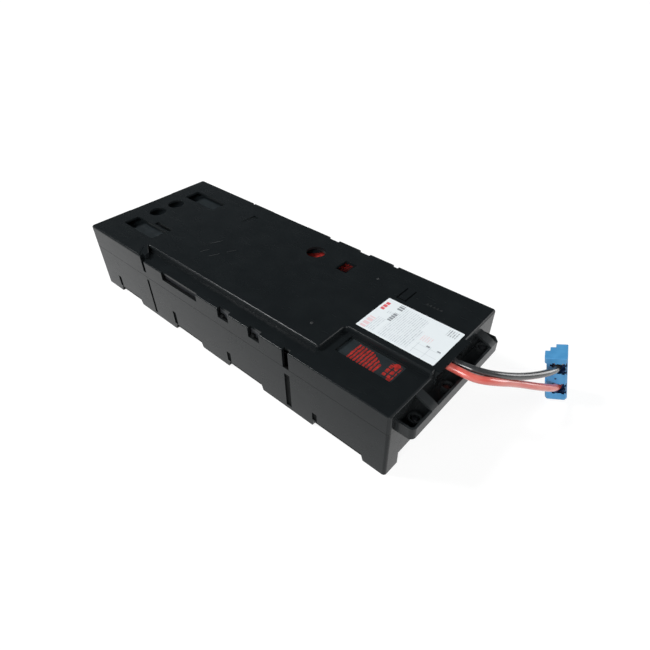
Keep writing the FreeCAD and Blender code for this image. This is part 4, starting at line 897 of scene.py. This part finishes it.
@dataclass
class ConnectorShell:
    """The two-pole housing: a stepped, rounded block with cavities, key slots and mating mouths."""

    width: float = 18.5
    depth: float = 22.0
    front_top: float = 51.2
    back_top: float = 49.4
    head: float = 44.6
    full: float = 11.6
    second: float = 17.2
    head_steps: Span = (4.1, 8.7)
    foot_steps: Span = (4.1, 6.4)
    left_chamfer: float = 1.6
    right_chamfer: Span = (1.8, 2.0)
    notch: Span = (22.0, 44.6)
    notch_depth: float = 1.5
    cavity: float = 5.9
    cavity_depth: float = 7.0
    key: float = 2.4
    key_spacing: float = 7.8
    key_reach: float = 6.7
    key_depth: float = 3.0
    hole: float = 3.65
    mouth: Point = (8.0, 15.0, 8.0)
    rounding: float = 0.7
    rounding_steps: int = 3
    toe: float = 1.8
    round_steps: int = 32
    past: float = 1.0
    merge: float = 0.002

    def outline(self, steps: Span) -> list[Span]:
        """The corners of the housing seen from above.

        Args:
            steps: Where the two steps in its back begin, across the housing.

        Returns:
            The corners, anticlockwise.
        """
        first, last = steps
        return [
            (0.0, self.left_chamfer),
            (self.left_chamfer, 0.0),
            (self.width - self.right_chamfer[0], 0.0),
            (self.width, self.right_chamfer[1]),
            (self.width, self.depth),
            (last, self.depth),
            (last, self.second),
            (first, self.second),
            (first, self.full),
            (0.0, self.full),
        ]

    def block(self) -> bmesh.types.BMesh:
        """The stepped block in its own axes, in millimetres."""
        mesh = bmesh.new()
        foot, head = self.outline(self.foot_steps), self.outline(self.head_steps)
        fall = (self.front_top - self.back_top) / self.depth
        toe = self.toe
        set_in = [(min(max(x, toe), self.width - toe), max(y, toe / 2)) for x, y in foot]
        bottom = [mesh.verts.new((x, y, 0.0)) for x, y in set_in]
        shin = [mesh.verts.new((x, y, toe)) for x, y in foot]
        lower = [mesh.verts.new((x, y, self.head)) for x, y in foot]
        upper = [low if a == b else mesh.verts.new((*b, self.head)) for low, a, b in zip(lower, foot, head)]
        top = [mesh.verts.new((x, y, self.front_top - y * fall)) for x, y in head]
        mesh.faces.new(bottom[::-1])
        mesh.faces.new(top)
        for below, above in ((bottom, shin), (shin, lower), (lower, upper), (upper, top)):
            for i in range(len(below)):
                j = (i + 1) % len(below)
                ring = []
                for vertex in (below[i], below[j], above[j], above[i]):
                    if vertex not in ring:
                        ring.append(vertex)
                if len(ring) > 2:
                    mesh.faces.new(ring)
        return mesh

    def cutter(self, low: Point, high: Point) -> bmesh.types.BMesh:
        """A box to cut away between two corners, in the housing's own axes."""
        mesh = bmesh.new()
        bmesh.ops.create_cube(mesh, size=1.0)
        for vertex in mesh.verts:
            vertex.co = Vector([b if part > 0 else a for part, a, b in zip(vertex.co, low, high)])
        return mesh

    def bore(self, height: float, radius: float, start: float, end: float) -> bmesh.types.BMesh:
        """A round bore to cut away, along the leads.

        Args:
            height: Its middle's height.
            radius: Its radius.
            start: Where it starts, from the lead face.
            end: Where it ends.

        Returns:
            The bore as a solid.
        """
        mesh = bmesh.new()
        across = ConnectorPlace().across
        steps = self.round_steps
        turns = [math.tau * i / steps for i in range(steps)]
        sides = [(radius * math.cos(turn), radius * math.sin(turn)) for turn in turns]
        rings = [[mesh.verts.new((across + x, y, height + z)) for x, z in sides] for y in (start, end)]
        mesh.faces.new(rings[0])
        mesh.faces.new(rings[1][::-1])
        for i in range(steps):
            j = (i + 1) % steps
            mesh.faces.new((rings[0][j], rings[0][i], rings[1][i], rings[1][j]))
        return mesh

    def cutters(self) -> list[bmesh.types.BMesh]:
        """Everything that is cut out of the block."""
        across, past = ConnectorPlace().across, self.past
        notch_low = (-past, -past, self.notch[0])
        notch_high = (self.notch_depth, self.full + past, self.notch[1])
        cuts = [self.cutter(notch_low, notch_high)]
        reach, depth = self.key_reach, self.key_depth
        wide, tall, deep = self.mouth
        for pole in ConnectorPlace().poles:
            for side in (-0.5, 0.5):
                low = side * self.key_spacing - self.key / 2
                high = low + self.key
                for start, end in (
                    ((across + low, -past, pole - reach), (across + high, depth, pole + reach)),
                    ((across - reach, -past, pole + low), (across + reach, depth, pole + high)),
                ):
                    cuts.append(self.cutter(start, end))
            cuts.append(self.bore(pole, self.cavity, -past, self.cavity_depth))
            cuts.append(self.bore(pole, self.hole, self.cavity_depth - past, self.depth - past))
            mouth_low = (across - wide / 2, self.depth - deep, pole - tall / 2)
            mouth_high = (across + wide / 2, self.depth + past, pole + tall / 2)
            cuts.append(self.cutter(mouth_low, mouth_high))
        return cuts

    def build(self, finishes: Finishes) -> bpy.types.Object:
        """Cuts and rounds the housing and puts it in the place of its node.

        Args:
            finishes: The finishes.

        Returns:
            The housing.
        """
        meshes = [self.block(), *self.cutters()]
        shell, *tools = (from_mesh(f"shell_{i}", mesh) for i, mesh in enumerate(meshes))
        rounded = shell.modifiers.new("Rounding", "BEVEL")
        rounded.width = self.rounding
        rounded.segments = self.rounding_steps
        rounded.limit_method = "ANGLE"
        for tool in tools:
            cut = shell.modifiers.new(tool.name, "BOOLEAN")
            cut.object = tool
            cut.solver = "EXACT"
        bpy.context.view_layer.update()
        finished = shell.evaluated_get(bpy.context.evaluated_depsgraph_get())
        cut_mesh = bpy.data.meshes.new_from_object(finished)
        for piece in (shell, *tools):
            bpy.data.objects.remove(piece)
        mesh = bmesh.new()
        mesh.from_mesh(cut_mesh)
        bmesh.ops.remove_doubles(mesh, verts=mesh.verts, dist=self.merge)
        bmesh.ops.dissolve_degenerate(mesh, edges=mesh.edges, dist=self.merge)
        place = ConnectorPlace()
        for vertex in mesh.verts:
            vertex.co = place.place(*vertex.co)
        housing = solid_piece("connector_shell", "connector_blue", finishes, mesh)
        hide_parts("connector_housing")
        return housing


@dataclass
class RatingLabel:
    """The label: a thin film with small rounded corners, laid where the CAD film lies."""

    corner: float = 0.9
    steps: int = 6
    ease: float = 0.03

    def build(self, finishes: Finishes) -> None:
        """Builds the film in the place of its node."""
        low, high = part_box("rating_label")
        half_x = (high.x - low.x) / MM / 2
        half_y = (high.y - low.y) / MM / 2
        centre_x = (low.x - COVER_LOW.x) / MM + half_x
        centre_y = (low.y - COVER_LOW.y) / MM + half_y
        outline = []
        for quarter, (side_x, side_y) in enumerate(((1, 1), (-1, 1), (-1, -1), (1, -1))):
            for step in range(self.steps + 1):
                turn = math.pi / 2 * (quarter + step / self.steps)
                x = side_x * (half_x - self.corner) + self.corner * math.cos(turn)
                y = side_y * (half_y - self.corner) + self.corner * math.sin(turn)
                outline.append((centre_x + x, centre_y + y))
        mesh = bmesh.new()
        plate(mesh, outline, low.z / MM, high.z / MM, self.ease)
        film = solid_piece("label_sheet", "label_film", finishes, mesh)
        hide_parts("rating_label")


@dataclass
class LedgeStart:
    """The moulded toe of the raised deck where the ledge begins beside its first guide notch."""

    outline: Sequence[Span] = (
        (83.0, 20.6),
        (84.4, 16.4),
        (98.9, 0.35),
        (99.5, 0.35),
        (99.5, 4.6),
        (103.0, 4.6),
        (102.2, 9.4),
        (85.4, 19.6),
    )
    rise: float = 0.03
    foot: float = 5.0
    ease: float = 0.45

    def build(self, finishes: Finishes) -> None:
        """Builds the toe on the ledge."""
        mesh = bmesh.new()
        plate(mesh, self.outline, DECK - self.foot, DECK + self.rise, self.ease)
        solid_piece("ledge_toe", "case_plastic", finishes, mesh)


@dataclass
class Lead:
    """A free lead: one smooth NURBS line from the clamp to its contact in the connector."""

    colour: str
    diameter: float
    length: float
    points: Sequence[Point]

    def build(self, finishes: Finishes, carried: Sequence[bpy.types.Object]) -> None:
        """Args:
            finishes: The finishes.
            carried: The separate pieces on its end. It is not used.
        """
        name = f"lead_{self.colour}"
        data = bpy.data.curves.new(f"{name}_line", "CURVE")
        data.dimensions = "3D"
        spline = data.splines.new("NURBS")
        spline.points.add(len(self.points) - 1)
        for slot, point in zip(spline.points, self.points):
            slot.co = (point[0] * MM, point[1] * MM, point[2] * MM, 1.0)
        spline.order_u = 3
        spline.use_endpoint_u = True
        spline.resolution_u = 16
        data.bevel_depth = self.diameter / 2 * MM
        data.bevel_resolution = 8
        data.use_fill_caps = True
        piece = linked(f"{name}_skin", data)
        finishes.dress(piece, finishes.made[name])
        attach(piece, "root")
        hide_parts(name)
        log.info("built %s", name)


# The route's points of part.py, with some raised by up to 3 mm to follow the photograph
RED_POINTS = [
    (196.65, -2.8, 68.9),
    (209.75, -2.8, 68.9),
    (226.5, 1.7, 64.7),
    (238.7, 13.5, 60.4),
    (249.0, 38.0, 46.8),
    (261.9, 61.5, 32.3),
    (273.1, 87.2, 17.1),
    (270.7, 93.4, 17.2),
]
BLACK_POINTS = [
    (196.65, 5.1, 68.2),
    (207.35, 5.1, 68.2),
    (223.8, 9.1, 66.6),
    (237.8, 21.2, 61.3),
    (251.4, 42.5, 52.4),
    (262.6, 64.6, 46.6),
    (267.6, 84.7, 40.5),
    (265.2, 90.8, 40.7),
]


@dataclass(frozen=True)
class Lamp:
    """A soft area lamp, by its direction from the case, distance, size and radiance."""

    name: str
    direction: Point
    distance: float
    size: float
    radiance: float
    colour: Colour = (1.0, 1.0, 1.0)

    def build(self) -> None:
        """Adds the lamp, aimed at the middle of the case."""
        data = bpy.data.lights.new(self.name, "AREA")
        data.shape = "DISK"
        data.size = self.size
        data.energy = self.radiance * math.pi * math.pi * (self.size / 2) ** 2
        data.color = self.colour
        lamp = linked(self.name, data)
        away = Vector(self.direction).normalized()
        lamp.location = away * self.distance
        lamp.rotation_euler = away.to_track_quat("Z", "Y").to_euler()


@dataclass
class Studio:
    """The pale floor, the soft surroundings, the lamps and the camera."""

    floor_half: float = 8.0
    floor_drop: float = 0.2
    floor_colour: Colour = (0.2, 0.2, 0.197)
    floor_glow: float = 0.86
    horizon: Colour = (0.95, 0.96, 0.97)
    overhead: Colour = (0.06, 0.07, 0.078)
    fall: Span = (0.04, 0.3)
    eye: Point = (323.97, -282.41, 354.74)
    turn: Point = (49.98, 0.58, 41.67)
    lens: float = 27.7
    sensor: float = 36.0

    def build_floor(self) -> None:
        """A wide plain floor that shows white to the camera and in gloss, and keeps the shadow."""
        paint = Paint("floor")
        rays = paint.node("ShaderNodeLightPath")
        seen = Value(paint, rays.outputs["Is Camera Ray"])
        seen = seen.either(Value(paint, rays.outputs["Is Glossy Ray"]))
        seen = seen.either(Value(paint, rays.outputs["Is Transmission Ray"]))
        material = paint.coat(Base_Color=rgba(self.floor_colour), Roughness=0.9)
        inputs = {"Color": rgba((1.0, 1.0, 1.0)), "Strength": seen * self.floor_glow}
        glow = paint.node("ShaderNodeEmission", None, inputs).outputs[0]
        total = paint.node("ShaderNodeAddShader", None, {0: paint.surface.outputs[0], 1: glow})
        paint.tree.links.new(total.outputs[0], paint.tree.nodes["Material Output"].inputs["Surface"])
        mesh = bmesh.new()
        half = self.floor_half
        low = -self.floor_drop * MM
        corners = ((-half, -half), (half, -half), (half, half), (-half, half))
        mesh.faces.new([mesh.verts.new((x, y, low)) for x, y in corners])
        data = bpy.data.meshes.new("floor")
        mesh.to_mesh(data)
        mesh.free()
        data.materials.append(material)
        linked("floor", data)

    def build_world(self) -> None:
        """A studio that is white at the horizon and dim overhead."""
        world = bpy.data.worlds.new("studio")
        bpy.context.scene.world = world
        world.use_nodes = True
        tree = world.node_tree
        place = tree.nodes.new("ShaderNodeTexCoord")
        split = tree.nodes.new("ShaderNodeSeparateXYZ")
        ramp = tree.nodes.new("ShaderNodeValToRGB")
        tree.links.new(place.outputs["Generated"], split.inputs[0])
        tree.links.new(split.outputs["Z"], ramp.inputs[0])
        stops = ramp.color_ramp.elements
        for stop, height, colour in zip(stops, self.fall, (self.horizon, self.overhead)):
            stop.position = height
            stop.color = rgba(colour)
        tree.links.new(ramp.outputs[0], tree.nodes["Background"].inputs["Color"])

    def build_camera(self) -> None:
        """The camera at the photograph's place and angle."""
        data = bpy.data.cameras.new("camera")
        data.lens = self.lens
        data.sensor_width = self.sensor
        camera = linked("camera", data)
        camera.location = Vector(self.eye) * MM
        camera.rotation_euler = Euler([math.radians(angle) for angle in self.turn], "XYZ")
        bpy.context.scene.camera = camera

    def build(self) -> None:
        """Builds the studio."""
        self.build_floor()
        self.build_world()
        self.build_camera()
        lamps = [
            Lamp("lamp_left", (-0.59, -0.34, 0.74), 6.0, 1.4, 50.0),
            Lamp("lamp_front", (0.3, -0.85, 0.45), 6.0, 3.0, 10.5),
            Lamp("lamp_back", (0.6, 0.72, 0.36), 6.0, 3.6, 4.5),
        ]
        for lamp in lamps:
            lamp.build()
        bpy.context.scene.view_settings.view_transform = "Standard"
        log.info("built the studio")


def main() -> None:
    """Builds the pieces in order."""
    logging.basicConfig(level=logging.INFO, format="%(name)s: %(message)s")
    Studio().build()
    finishes = Finishes()
    finishes.dress_nodes()
    housing = ConnectorShell().build(finishes)
    Lead("red", 7.0, 145.9, RED_POINTS).build(finishes, [housing, frame["nodes"]["connector_contact_red"]])
    Lead("black", 6.4, 126.5, BLACK_POINTS).build(finishes, [frame["nodes"]["connector_contact_black"]])
    CaseShells().build()
    MouldMarks().build(finishes)
    RatingLabel().build(finishes)
    LedgeStart().build(finishes)


if __name__ == "__main__":
    main()
